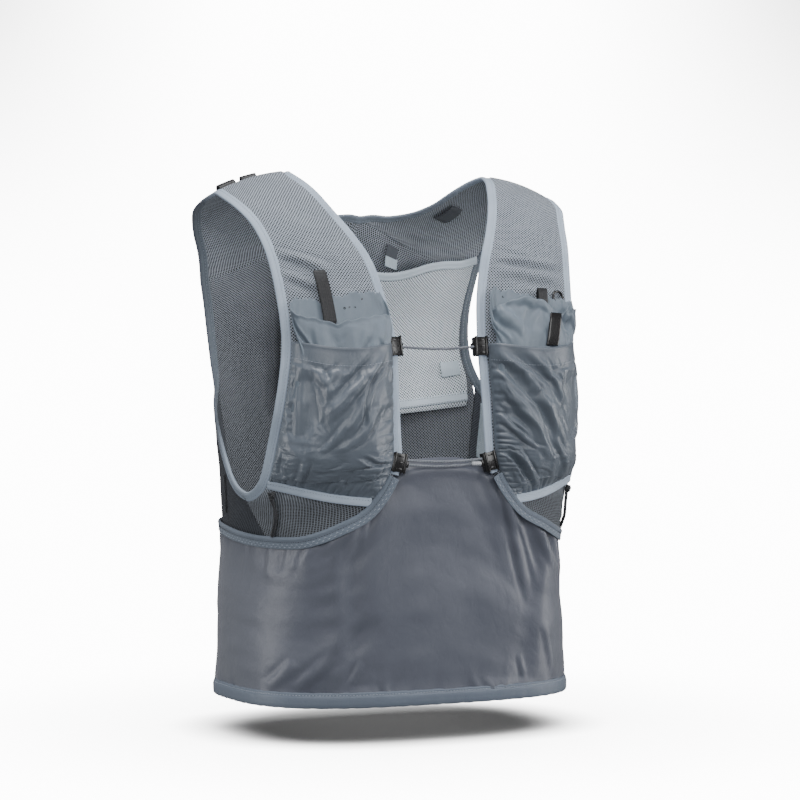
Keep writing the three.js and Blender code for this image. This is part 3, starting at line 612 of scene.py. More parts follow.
strap_mesh = warp_knit_mesh("warp_knit_mesh_strap", "#969fac", "#bec7d3", "#050608", 3.1, (-0.325, -0.295, 0.34))
side_mesh = warp_knit_mesh("warp_knit_mesh_side", "#565b64", "#6e747e", "#08090c", 2.8)
back_mesh = warp_knit_mesh("warp_knit_mesh_back", "#a6aeb9", "#c8cfda", "#15181d", 3.0, (-0.19, -0.06, 0.5))
sleeve_mesh = warp_knit_mesh("warp_knit_mesh_sleeve", "#ccd5dd", "#e2eaf1", "#4c545d", 3.0)


def nylon_taffeta(name, dark, light, roughness=0.42, sheen=0.05):
    """Thin calendered nylon taffeta: a faint plain weave, soft shine and small crumples."""
    material, shader = new_finish(name, roughness=roughness, sheen_weight=sheen, specular_ior_level=0.5)
    flat = uv_place(material)
    spots = noise_on(material, flat, Scale=14.0, Detail=4.0, Roughness=0.55)["Fac"]
    paint(material, shader, add_mix(material, spots, dark, light))
    weave = maths(material, "MULTIPLY", *two_waves(material, flat, (2 * math.pi / 0.0011,) * 3))
    under = add_bump(material, shader, weave, 0.12, 0.0003)
    crumple = noise_on(material, flat, Scale=75.0, Detail=4.0, Roughness=0.5, Distortion=0.6)["Fac"]
    under = add_bump(material, shader, crumple, 0.35, 0.0011, under)
    add_bump(material, shader, noise_on(material, flat, Scale=26.0, Detail=2.0)["Fac"], 0.3, 0.003, under)
    return material


wrap_nylon = nylon_taffeta("nylon_taffeta_wrap", "#505460", "#5a5e69", 0.42, 0.18)
pocket_nylon = nylon_taffeta("nylon_taffeta_pocket", "#545c66", "#646c76", 0.34)
liner_nylon = nylon_taffeta("nylon_taffeta_liner", "#626d79", "#798591", 0.46)
hem_nylon = nylon_taffeta("nylon_taffeta_hem", "#5c6573", "#66707e", 0.5)


def knitted_tape(name, dark, light, rib=1.1, roughness=0.62, behind=1.0):
    """Folded elastic tape: fine ribs across it and a brushed, matt face."""
    material, shader = new_finish(name, roughness=roughness, sheen_weight=0.15, sheen_roughness=0.4)
    flat = uv_place(material)
    base = add_mix(material, noise_on(material, flat, Scale=30.0, Detail=4.0)["Fac"], dark, light)
    # Painted shade: behind y = 0.05 m the colour is scaled down to the share given by behind. This darkens tape on the
    # back of the vest, which lies in shade.
    back = mapped(material, object_axis(material, 1), 0.0, 0.05, 1.0, behind)
    paint(material, shader, scaled_vector(material, base, back))
    rate = 2 * math.pi / (rib * 0.001)
    ribs = maths(material, "ADD", *two_waves(material, flat, (rate * 0.7, rate, rate)))
    add_bump(material, shader, ribs, 0.25, 0.0004)
    return material


# The armhole and neck tapes carry painted shade on the back of the vest.
edge_tape = knitted_tape("knitted_elastic_tape", "#9dabbc", "#bbc9d9", behind=0.34)
neck_tape = knitted_tape("knitted_elastic_tape_neck", "#99a7ba", "#b8c6d6", behind=0.5)
wrap_tape = knitted_tape("knitted_elastic_tape_wrap", "#58626f", "#6b7582")
inner_tape = knitted_tape("knitted_elastic_tape_inner", "#a2aeb9", "#b9c5cf")
dark_webbing = knitted_tape("polyester_grosgrain", "#0d0e11", "#1a1b20", 1.4, 0.42)
pale_webbing = knitted_tape("polyester_grosgrain_pale", "#9aa8b3", "#b5c1ca", 1.4, 0.6)
grey_webbing = knitted_tape("woven_polyester_tag", "#3b3f46", "#4b5058", 1.2, 0.6)
thread_finish = knitted_tape("spun_polyester_thread", "#8e98a6", "#a9b3c0", 0.8, 0.6)
dark_thread = knitted_tape("spun_polyester_thread_dark", "#2c3038", "#3c414a", 0.8, 0.6)


def braided_cord(name, dark, light, lay):
    """Round braided cord: strands that cross at a slant, so the colour breaks into short dashes."""
    material, shader = new_finish(name, roughness=0.6, sheen_weight=0.3)
    rate = math.pi * math.sqrt(2) / (lay * 0.001)
    strands = maths(material, "MULTIPLY", *two_waves(material, uv_place(material), (rate, rate, rate), 0.9))
    paint(material, shader, add_mix(material, mapped(material, strands, -0.6, 0.6, kind="LINEAR"), dark, light))
    add_bump(material, shader, strands, 0.5, 0.0004)
    return material


grey_cord = braided_cord("braided_polyester_cord", "#565b64", "#868b94", 1.6)
black_cord = braided_cord("braided_polyester_cord_black", "#17191d", "#2d3036", 1.8)
pale_tip = braided_cord("heat_shrunk_cord_end", "#b4b8be", "#d5d8dc", 2.2)


def moulded_acetal(name, dark, light, roughness):
    """Injection-moulded acetal: near black, glossy, with faint flow marks."""
    material, shader = new_finish(name, roughness=roughness, ior=1.48, coat_weight=0.25)
    flow = noise_on(material, add_node(material, "TexCoord")["Object"], Scale=260.0, Detail=3.0)["Fac"]
    paint(material, shader, add_mix(material, flow, dark, light))
    add_bump(material, shader, flow, 0.12, 0.0002)
    return material


clip_acetal = moulded_acetal("moulded_acetal", "#0e0e10", "#1c1a1a", 0.24)
eyelet_acetal = moulded_acetal("moulded_acetal_eyelet", "#16181c", "#24272d", 0.35)
print("finishes", len(bpy.data.materials))

# %% [markdown]
# Edges are bound with folded tape. A tape follows its edge, lies flat to the cloth and
# has one side towards the cloth, so each path carries three arrows: where it is, which
# way is out, and which way the cloth lies. A section swept along that path makes the tape.

# %% Paths and sweeps


def edge_trail(stop, count, start, end):
    share = np.linspace(0, 1, count)
    u, v = start[0] + (end[0] - start[0]) * share, start[1] + (end[1] - start[1]) * share
    point, normal = stop(u, v)
    inner = stop(u, np.where(v < 0.5, v + 0.06, v - 0.06))[0]
    return np.stack([point, normal, unit(inner - point)], axis=1)


def even_path(trail, step, ring=False):
    """Evenly spaced stops of a trail: points, the way out, and the way to the cloth."""
    rows = np.concatenate([trail[-2:], trail, trail[:3]]) if ring else trail
    first, last = (2, 2 + len(trail)) if ring else (0, len(trail) - 1)
    curve = smooth_curve(rows[:, 0])
    fine = np.linspace(first, last, 24 * len(trail))
    length = run_length(curve(fine))
    at = np.interp(np.linspace(0, length[-1], max(8, int(length[-1] / step)) + 1), length, fine)
    number = np.arange(len(rows))
    arrows = [np.stack([np.interp(at, number, rows[:, k, axis]) for axis in range(3)], -1) for k in (1, 2)]
    return path_frame(curve(at), arrows[0], arrows[1], ring)


def path_frame(path, out, toward, ring=False):
    run = np.gradient(path, axis=0)
    if ring:
        run[0] = run[-1] = path[1] - path[-2]
    run = unit(run)
    up = unit(out - run * np.sum(out * run, axis=1, keepdims=True))
    over = np.cross(run, up)
    over = over * (1 if np.sum(over * toward) >= 0 else -1)
    return path, up, over


def swept(name, stops, section, ring=False, lift=0.0, shift=0.0, swell=None):
    """Sweeps a closed section, in mm towards the cloth and outwards, along a path."""
    path, up, over = stops
    scale = np.ones(len(path)) if swell is None else swell
    if not ring:
        ends = np.array([0.0, 0.62, 0.9])
        reach = np.array([1.0, 0.8, 0.4]) * section[:, 1].max() * 0.6
        first, last = unit(path[0] - path[1]), unit(path[-1] - path[-2])
        path = np.concatenate([path[0] + first * reach[:, None], path, path[-1] + last * reach[::-1, None]])
        up = np.concatenate([up[[0] * 3], up, up[[-1] * 3]])
        over = np.concatenate([over[[0] * 3], over, over[[-1] * 3]])
        scale = np.concatenate([ends, scale, ends[::-1]])
    flat = section[None] * scale[:, None, None]
    points = path[:, None] + over[:, None] * (flat[..., :1] + shift) + up[:, None] * (flat[..., 1:] + lift)
    piece = grid_piece(name, points, arc_uv(points, True), True)
    if ring:
        merge_seam(piece)
    return piece


def merge_seam(piece, turn_out=True):
    bm = bmesh.new()
    bm.from_mesh(piece.data)
    bmesh.ops.remove_doubles(bm, verts=bm.verts, dist=1e-5)
    if turn_out:
        bmesh.ops.recalc_face_normals(bm, faces=bm.faces)
    bm.to_mesh(piece.data)
    bm.free()


def oval(width, thickness, count=24, square=0.75):
    turn = np.linspace(0, 2 * np.pi, count + 1)
    w = np.sign(np.cos(turn)) * np.abs(np.cos(turn)) ** square * width / 2
    t = np.sign(np.sin(turn)) * np.abs(np.sin(turn)) ** square * thickness / 2
    return np.stack([w, t], -1)


def rolled_tape(width, thickness, groove=0.5, at=0.2, count=30):
    """A folded tape: a full roll at the free edge, a stitched channel, a thin inner lip."""
    section = oval(width, thickness, count)
    w = section[:, 0] / (width / 2)
    section[:, 1] *= (1 - 0.22 * (w + 1) / 2) * (1 - groove * np.exp(-(((w - at) / 0.13) ** 2)))
    return section


def sew(name, stops, pitch, thread, lift, shift, ring=False, zigzag=0.0, finish=thread_finish):
    """One sewing thread that rises for each stitch and dives into the cloth between two."""
    path, up, over = stops
    steps = run_length(path)
    count = max(1, int(round(steps[-1] / pitch)))
    at = np.linspace(0, steps[-1], count * 6 + 1)
    turn = np.arange(count * 6 + 1) / 6 * 2 * np.pi

    def read(rows):
        return np.stack([np.interp(at, steps, rows[:, k]) for k in range(3)], -1)

    line, out, side = read(path), unit(read(up)), unit(read(over))
    line = line + out * (lift + thread * (0.75 * np.cos(turn) - 0.15))[:, None]
    swing = np.where(np.cos(turn / 2) > 0, 1, -1) * np.abs(np.cos(turn / 2)) ** 0.5
    line = line + side * (shift + zigzag * swing)[:, None]
    return hand_over(swept(name, path_frame(line, out, side, ring), oval(thread, thread, 4, 1.0), ring), [], finish)


def bind(name, stops, section, node, finish, ring=False):
    """A tape along an edge, in the place of one binding of the solids."""
    return hand_over(swept(name, stops, section, ring), [node], finish)


# %% [markdown]
# The straps widen into the pocket bases. They are one mesh panel on each side, pulled
# into shallow dents by the weight of the pockets. Each dent is a row of the fold table:
# where it starts and ends, as section rows and shares across, its half width and height
# in millimetres.

# %% Front wings and side panels
TUCK, SHOULDER_LAP = 2.6, 1.6
ROW_MM, WING_MM = 36, 86
STRAP_FOLDS = {
    -1: [
        (3.35, 1.02, 4.35, 0.42, 5.0, 2.6),
        (3.75, 1.00, 4.55, 0.50, 5.0, -2.2),
        (4.15, 1.02, 4.75, 0.62, 4.0, 2.2),
        (4.40, 1.00, 4.85, 0.66, 4.0, -1.8),
        (2.30, 0.10, 3.40, 0.20, 7.0, -1.0),
        (4.70, 0.05, 4.95, 0.45, 5.0, 1.2),
    ],
    1: [
        (3.85, 0.04, 3.95, 0.96, 4.5, 2.2),
        (4.05, 0.02, 4.20, 0.98, 4.0, -1.8),
        (4.28, 0.10, 4.40, 0.92, 4.5, 1.7),
        (2.30, 0.85, 3.40, 0.75, 7.0, -1.0),
        (3.20, 0.05, 3.75, 0.55, 5.0, 1.3),
        (4.55, 0.30, 4.70, 0.98, 4.0, -1.4),
    ],
}


def scaled_folds(folds, u_mm, v_mm):
    return [(a * u_mm, b * v_mm, c * u_mm, d * v_mm, width, height) for a, b, c, d, width, height in folds]


def wing_points(side, rows=190, columns=60):
    row = np.linspace(0, LAST_FRONT, rows + 1)[:, None]
    share = np.linspace(0, 1, columns + 1)[None]
    width = width_of(side.front, row)
    free = ease(row, NECK_START + 0.3, WRAP_START + 0.7)
    low, high = TUCK * (1 - free) / width, TUCK / width
    across = low + (1 - low - high) * share
    point, normal = side.front_stop(row, across)
    relief = fold_field(row * ROW_MM, across * WING_MM, scaled_folds(STRAP_FOLDS[side.sign], ROW_MM, WING_MM))
    relief = relief + 0.7 * ripple_noise(relief.shape, (26, 7), 11 + side.sign) * np.sin(np.pi * share)
    point = point + normal * (relief * np.sin(np.pi * share) ** 0.35 * ease(row, 0, 0.5))[..., None]
    point[0] += unit(point[0] - point[1]) * SHOULDER_LAP
    return point, normal


def cloth_sheet(name, points, normal, node, material):
    """A mesh panel 1.4 mm thick, turned so that its faces look the way the normals point."""
    piece = grid_piece(name, points)
    faces = piece.data.polygons
    lean = normal.reshape(-1, 3).mean(axis=0)
    if abs(lean).max() > 0.2:
        facing = sum((np.array(face.normal) @ lean) * face.area for face in faces)
    else:
        middle = faces[len(faces) // 2]
        facing = np.array(middle.normal) @ normal[points.shape[0] // 2, points.shape[1] // 2]
    if facing < 0:
        piece.data.flip_normals()
    return hand_over(thickened(piece, 1.4), [node], material)


for side in (RIGHT, LEFT):
    points, normal = wing_points(side)
    wing = cloth_sheet(f"strap_mesh_{side.word}", points, normal, f"front_wing_{side.word}", strap_mesh)
    u = np.linspace(0, 1, 71)[:, None]
    t = np.linspace(0, 1, 51)[None] * 0.975
    points, normal = side.flank_stop(u, t)
    points = points + normal * (0.9 * ripple_noise(points.shape[:2], (6, 4), 31 + side.sign))[..., None]
    flank = cloth_sheet(f"underarm_mesh_{side.word}", points, normal, f"side_panel_{side.word}", side_mesh)

# %% [markdown]
# The back is one wide mesh panel that splits into two straps at the shoulder. It is laid
# as three grids, the two straps and the body below them, and their shared rows are
# merged, so the cloth runs through.

# %% Back panel and bladder sleeve


def patches_piece(name, tables, normals):
    """Several grids merged into one piece, each turned so that it faces out."""
    parts = []
    for index, (points, normal) in enumerate(zip(tables, normals)):
        part = grid_piece(f"{name}_{index}", points)
        middle = part.data.polygons[len(part.data.polygons) // 2]
        if np.array(middle.normal) @ normal[points.shape[0] // 2, points.shape[1] // 2] < 0:
            part.data.flip_normals()
        parts.append(part)
    bm = bmesh.new()
    for part in parts:
        bm.from_mesh(part.data)
    bmesh.ops.remove_doubles(bm, verts=bm.verts, dist=2e-5)
    for part in parts:
        old = part.data
        bpy.data.objects.remove(part)
        bpy.data.meshes.remove(old)
    return added_object(name, bm)


def back_points(side, start, end, rows, columns=52):
    row = np.linspace(start, end, rows + 1)[:, None]
    share = np.linspace(0, 1, columns + 1)[None]
    width = width_of(side.back, row)
    high = TUCK * (1 - ease(row, SEAM_ROW - 0.1, SEAM_ROW + 0.3)) / width
    low = TUCK * np.clip(CROSS_ROW + 1 - row, 0, 1) ** 2 / width
    point, normal = side.back_stop(row, low + (1 - low - high) * share)
    wave = 0.8 * ripple_noise(point.shape[:2], (max(2, rows // 9), 6), 51 + int(start)) * np.sin(np.pi * share) ** 0.5
    if start >= CROSS_ROW:
        wave = wave * ease(share, 0.0, 0.1)
    point = point + normal * (wave * ease(row, 0, 0.5))[..., None]
    if start == 0:
        point[0] += unit(point[0] - point[1]) * SHOULDER_LAP
    return point, normal


tables, normals = [], []
for side in (RIGHT, LEFT):
    for start, end, rows in ((0, CROSS_ROW, 100), (CROSS_ROW, LAST_BACK, 100)):
        points, normal = back_points(side, start, end, rows)
        if start == CROSS_ROW:
            points[:, 0, 0] = 0.0
        tables.append(points)
        normals.append(normal)
back_cloth = thickened(patches_piece("back_mesh", tables, normals), 1.4)
hand_over(back_cloth, ["back_panel"], back_mesh)

SLEEVE_TOP, SLEEVE_CLIMB, SLEEVE_FOOT = 6.98, 2.7, 10.38
SLEEVE_REACH = {-1: 0.5, 1: 1.0}
SLEEVE_SEAT, SLEEVE_SPACE = WALL + GAP + 1.4, 5.0


def sleeve_stop(side, u, v, below=0.0, extra=0.0):
    """A place on the bladder sleeve, whose top edge lies level and climbs the rows."""
    share = SLEEVE_REACH[side.sign] * np.asarray(v, float)
    top = SLEEVE_TOP - SLEEVE_CLIMB * share**2.6
    row = top + (SLEEVE_FOOT - top) * u + below
    width = width_of(side.back, row)
    point, normal = side.back_stop(row, (1 - (5.85 + 1.5) / width) * share)
    space = SLEEVE_SEAT + SLEEVE_SPACE * np.cos(np.pi / 2 * share) + extra
    return point - normal * (space * np.ones(normal.shape[:-1]))[..., None], normal


tables, normals = [], []
for side in (RIGHT, LEFT):
    u = np.linspace(0, 1, 75)[:, None]
    share = np.linspace(0, 1, 51)[None]
    relief = 0.9 * ripple_noise((75, 51), (9, 5), 71 + side.sign) * np.sin(np.pi * share) ** 0.5 * np.ones((75, 1))
    points, normal = sleeve_stop(side, u, share, 0.0, relief * ease(share, 0, 0.12))
    points[:, 0, 0] = 0.0
    tables.append(points)
    normals.append(-normal)
sleeve_cloth = thickened(patches_piece("bladder_sleeve", tables, normals), 1.2)
hand_over(sleeve_cloth, ["back_sleeve"], sleeve_mesh)

# %% [markdown]
# The lower wrap is a plain nylon tube. It is gathered a little into the tape above and
# into the hem below, and pulled from the two lower clips, so its folds start as short
# pleats at the seams and run out into long soft ones. They are listed by their place
# round the body from the front middle, and by their height, in millimetres. The two ends
# of the grid meet at the back middle, where they take the same relief and close.

# %% Lower wrap
WRAP_FOLDS = [
    (-74, -282, -150, -372, 8.0, 2.4), (-60, -290, -110, -352, 6.0, -1.6), (-108, -316, -168, -372, 7.0, 2.0),
    (-128, -330, -160, -360, 5.0, -1.4), (-158, -346, -176, -378, 4.5, 1.6), (-176, -352, -190, -384, 4.0, 1.4),
    (-196, -356, -206, -388, 4.0, -1.3), (-214, -358, -222, -392, 4.5, 1.5),
    (30, -268, 76, -330, 8.0, 1.6), (66, -276, 128, -420, 7.5, 2.6), (84, -290, 146, -400, 6.0, -2.2),
    (104, -306, 164, -392, 6.0, 2.2), (128, -324, 176, -400, 5.0, -1.6), (150, -336, 186, -410, 5.5, 1.8),
    (-10, -262, -46, -300, 9.0, 1.2), (44, -300, 104, -380, 16.0, 1.6), (-40, -300, -120, -420, 20.0, 1.5),
    (-186, -470, -216, -498, 6.0, 2.0), (-150, -462, -186, -498, 6.0, 1.8), (-112, -470, -136, -498, 5.0, 1.3),
    (150, -440, 176, -498, 6.0, 1.6), (112, -470, 128, -498, 5.0, 1.2), (-90, -430, -170, -488, 12.0, -1.3),
]


def hem_point(x, y, z):
    depth = np.where(y < 0, HEM_FRONT, HEM_BACK)
    size = (np.abs(x) ** HEM_SQUARE + np.abs(y) ** HEM_SQUARE) ** (1 / HEM_SQUARE)
    return np.stack([HEM_X * x / size, depth * y / size, z * np.ones_like(x)], -1)


def wrap_top(side, count):
    points = [placed(*p, side.sign) for p in FREE_EDGE]
    points += [side.front(10.15 + (LAST_FRONT - 10.4) * i / 9, 0.0) for i in range(10)]
    points += [side.flank(0.1 + 0.8 * i / 4, 0.0) for i in range(5)]
    points += [side.back(LAST_BACK, 0.92 * (1 - i / 4)) for i in range(5)]
    curve = smooth_curve(points)
    fine = np.linspace(0, len(points) - 1, 900)
    length = run_length(curve(fine))
    return curve(np.interp(np.linspace(0, length[-1], count + 1), length, fine)), length[-1]


def wrap_points(rows=105, columns=165):
    right_top, half = wrap_top(RIGHT, columns)
    left_top, _ = wrap_top(LEFT, columns)
    top = np.concatenate([right_top[::-1], left_top[1:]])
    place = np.linspace(-half, half, 2 * columns + 1)[None]
    top = top + np.array([0, 0, -1.3])
    low = hem_point(top[:, 0] / SHOULDER, top[:, 1] / FRONT, np.full(len(top), -(HEIGHT - HEM_BAND - GAP) - 4.0))
    share = np.linspace(0, 1, rows + 1)[:, None]
    even = top.copy()
    for _ in range(70):
        even[1:-1] = (even[:-2] + even[2:]) / 2
    corner = ease(np.abs(place[0]), 112, 150)[:, None]
    even = even * (1 - corner) + top * corner
    below_seam = ease(share, 0.0, 0.22)[..., None]
    upper = top[None] * (1 - below_seam) + even[None] * below_seam
    points = upper * (1 - share[..., None]) + low[None] * share[..., None]
    points[..., 2] = top[None, :, 2] * (1 - share) + low[None, :, 2] * share
    calm = points[..., :2].copy()
    for _ in range(160):
        calm[:, 1:-1] = (calm[:, :-2] + calm[:, 2:]) / 2
    front = ((1 - corner[:, 0])[None] * ease(share, 0.02, 0.25) * (1 - ease(share, 0.93, 1.0)))[..., None]
    points[..., :2] = points[..., :2] * (1 - front) + calm * front
    out = grid_normals(points)
    out = out * np.where(np.sum(out * points * np.array([1, 1, 0]), axis=-1, keepdims=True) < 0, -1, 1)
    height = points[..., 2]
    shape = height.shape
    relief = fold_field(place * np.ones_like(height), height, WRAP_FOLDS)
    down = height - low[None, :, 2]
    ripple = 0.75 * np.sin(place / 4.6 + 2.2 * ripple_noise(shape, (2, 40), 5))
    hem_gather = np.exp(-down / 11) * (ripple + 0.8 * ripple_noise(shape, (3, 90), 6))
    below = np.maximum(top[None, :, 2] - height, 0)
    seam = ease(np.abs(place), 55, 80)
    ripple = 0.9 * np.sin(place / 3.6 + 2.5 * ripple_noise(shape, (2, 34), 8))
    top_gather = seam * np.exp(-below / 15) * (ripple + 0.7 * ripple_noise(shape, (3, 80), 9))
    soft = 1.6 * ripple_noise(shape, (5, 12), 10) + 0.5 * ripple_noise(shape, (14, 34), 12)
    edge = np.minimum(1, below / 8 + 0.25) * np.minimum(1, np.maximum(down, 0) / 5 + 0.3)
    free = 1 - ease(np.abs(place), 44, 60)
    roll = -5.0 * free * np.exp(-((below / 7) ** 2)) + 1.4 * free * np.exp(-(((below - 11) / 5) ** 2))
    relief = (relief + soft) * edge + hem_gather + top_gather + roll
    relief = relief + np.sin(np.pi * share)
    close = ease(np.linspace(0, 1, points.shape[1])[None], 0.95, 1.0)
    relief = relief * (1 - close) + relief[:, :1] * close
    out[:, 0] = out[:, -1] = unit(out[:, 0] + out[:, -1])
    points = points + out * relief[..., None]
    points[:, -1] = points[:, 0]
    return points, out


points, normal = wrap_points()
wrap = grid_piece("lower_wrap", points, arc_uv(points))
merge_seam(wrap)
if sum(face.area * face.normal.dot(face.center * Vector((1, 1, 0))) for face in wrap.data.polygons) < 0:
    wrap.data.flip_normals()
thickened(wrap, 1.2)
hand_over(wrap, ["wrap"], wrap_nylon)

# %% [markdown]
# One tape runs round each armhole and one up both neck edges and round the back. A
# folded tape has a fat roll where it turns over the raw edge and a stitched channel
# beside it, so its section is an oval with one groove. The sewing is a real thread that
# rises at each stitch, because at this size a painted line would look flat.

# %% Armhole and neck tapes


def armhole_trail(side):
    return np.concatenate([
        edge_trail(side.front_stop, 26, (0, 1), (LAST_FRONT - 0.3, 1)),
        edge_trail(side.flank_stop, 8, (0.06, 1), (0.94, 1)),
        edge_trail(side.back_stop, 18, (SEAM_ROW - 0.2, 1), (0.35, 1)),
    ])


def neck_trail(side):
    return np.concatenate([
        edge_trail(side.front_stop, 20, (NECK_START, 0), (0.3, 0)),
        edge_trail(side.back_stop, 12, (0.3, 0), (CROSS_ROW, 0)),
    ])


def waist_trail(side):
    trail = np.concatenate([
        edge_trail(side.front_stop, 14, (WRAP_START, 0), (LAST_FRONT - 0.25, 0)),
        edge_trail(side.flank_stop, 7, (0.08, 0), (0.92, 0)),
        edge_trail(side.back_stop, 6, (LAST_BACK, 0.94), (LAST_BACK, 0)),
    ])
    trail[-6:, 2] = (0, 0, 1)
    trail[:, 1, 2] *= 0.5
    return trail


def joined(trail_of):
    right, left = trail_of(RIGHT), trail_of(LEFT)[::-1]
    return np.concatenate([right, left[1:]])


TAPE = rolled_tape(TAPE_WIDTH, TAPE_THICK, 0.62, 0.28)
STITCH_FACES = (("outer", 1.05), ("inner", -1.05))
for side in (RIGHT, LEFT):
    stops = even_path(armhole_trail(side), 2.0, True)
    bind(f"armhole_tape_{side.word}", stops, TAPE, f"armhole_binding_{side.word}", edge_tape, True)
    for face, lift in STITCH_FACES:
        sew(f"armhole_stitch_{face}_{side.word}", stops, 3.4, 0.55, lift, 1.5, ring=True)
    print("armhole edge, mm", round(run_length(stops[0])[-1]))

neck_stops = even_path(joined(neck_trail), 2.0)
bind("neck_tape", neck_stops, TAPE, "neck_binding", neck_tape)
for face, lift in STITCH_FACES:
    sew(f"neck_stitch_{face}", neck_stops, 3.4, 0.55, lift, 1.5)
print("neck edge, mm", round(run_length(neck_stops[0])[-1]))

# %% [markdown]
# The seam over the wrap is two parts: a soft piping above and a flat tape below it that
# is sewn with a zig-zag, which lets it stretch. The section has both, and the zig-zag is
# a thread that steps from side to side.

# %% Wrap tape and hem band
waist = even_path(joined(waist_trail), 2.0)
path, up, over = waist
waist = (path + up * (WALL / 2 + GAP + WRAP_TAPE_THICK / 2 + 1.0), up, over)
section = oval(WRAP_TAPE_WIDTH, WRAP_TAPE_THICK, 34, 0.7)
w = section[:, 0] / (WRAP_TAPE_WIDTH / 2)
section[:, 1] *= 0.62 + 0.85 * np.exp(-(((w - 0.62) / 0.3) ** 2)) - 0.3 * np.exp(-(((w - 0.12) / 0.12) ** 2))
bind("wrap_tape", waist, section, "wrap_binding", wrap_tape)
sew("wrap_tape_zigzag", waist, 3.0, 0.5, 0.85, -2.6, zigzag=1.3)
sew("wrap_tape_stitch", waist, 2.8, 0.5, 0.75, 0.8, finish=dark_thread)
print("wrap seam, mm", round(run_length(waist[0])[-1]))

angle = np.linspace(0, 2 * np.pi, 401)
ring = hem_point(np.cos(angle), np.sin(angle), -(HEIGHT - HEM_BAND / 2))
out = unit(ring * np.array([1 / HEM_X**2, 1 / HEM_FRONT**2, 0]))
hem_stops = path_frame(ring, out, np.tile([0.0, 0, 1.0], (len(ring), 1)), True)
section = oval(HEM_BAND, HEM_THICK, 36, 0.62)
w = section[:, 0] / (HEM_BAND / 2)
section[:, 1] *= (1 - 0.38 * np.exp(-(((w - 0.66) / 0.12) ** 2))) * (1 - 0.3 * ease(w, 0.55, 1.0))
pull = 1 + 0.02 * np.sin(angle * 61) + 0.015 * np.sin(angle * 97 + 1)
hem = swept("hem_band_cloth", hem_stops, section, True, swell=pull)
hand_over(hem, ["hem_band"], hem_nylon)
sew("hem_stitch", hem_stops, 3.2, 0.6, 1.35, 5.0, ring=True)
sew("hem_stitch_lower", hem_stops, 3.2, 0.45, 1.5, 4.1, ring=True, finish=dark_thread)
print("hem, mm", round(run_length(ring)[-1]))


def sleeve_edge(u, below, lift):
    def half(side):
        share = np.linspace(1, 0, 9)
        point, normal = sleeve_stop(side, np.full(9, u), share, below, lift)
        return np.stack([point, -normal, np.tile([0.0, 0, -1.0], (9, 1))], axis=1)
    return joined(half)


top_stops = even_path(sleeve_edge(0.0, 0.1, 1.4), 2.0)
bind("bladder_sleeve_tape", top_stops, rolled_tape(9.0, 3.4, 0.45, 0.2), "back_sleeve_binding", inner_tape)
sew("bladder_sleeve_stitch", top_stops, 3.2, 0.5, 0.9, 2.6, finish=dark_thread)
foot_stops = even_path(sleeve_edge(1.0, -0.15, 1.4), 2.0)
bind("bladder_sleeve_foot_tape", foot_stops, oval(9.0, 2.0, 30, 0.6), "back_sleeve_foot_band", inner_tape)
for word, shift in (("upper", -3.2), ("lower", 3.2)):
    sew(f"bladder_foot_stitch_{word}", foot_stops, 3.0, 0.45, 0.85, shift, finish=dark_thread)

# %% [markdown]
# Each chest pocket is a woven nylon bag on the front of the wing. It is sewn to the
# strap at both sides and gathered by an elastic along its inner seam and its foot, so
# small puckers start at the seams and longer folds fan out from the upper corner. A
# cloth simulation, in which the bag is cut wider than its place, gives the crumples
# between the folds that are listed.

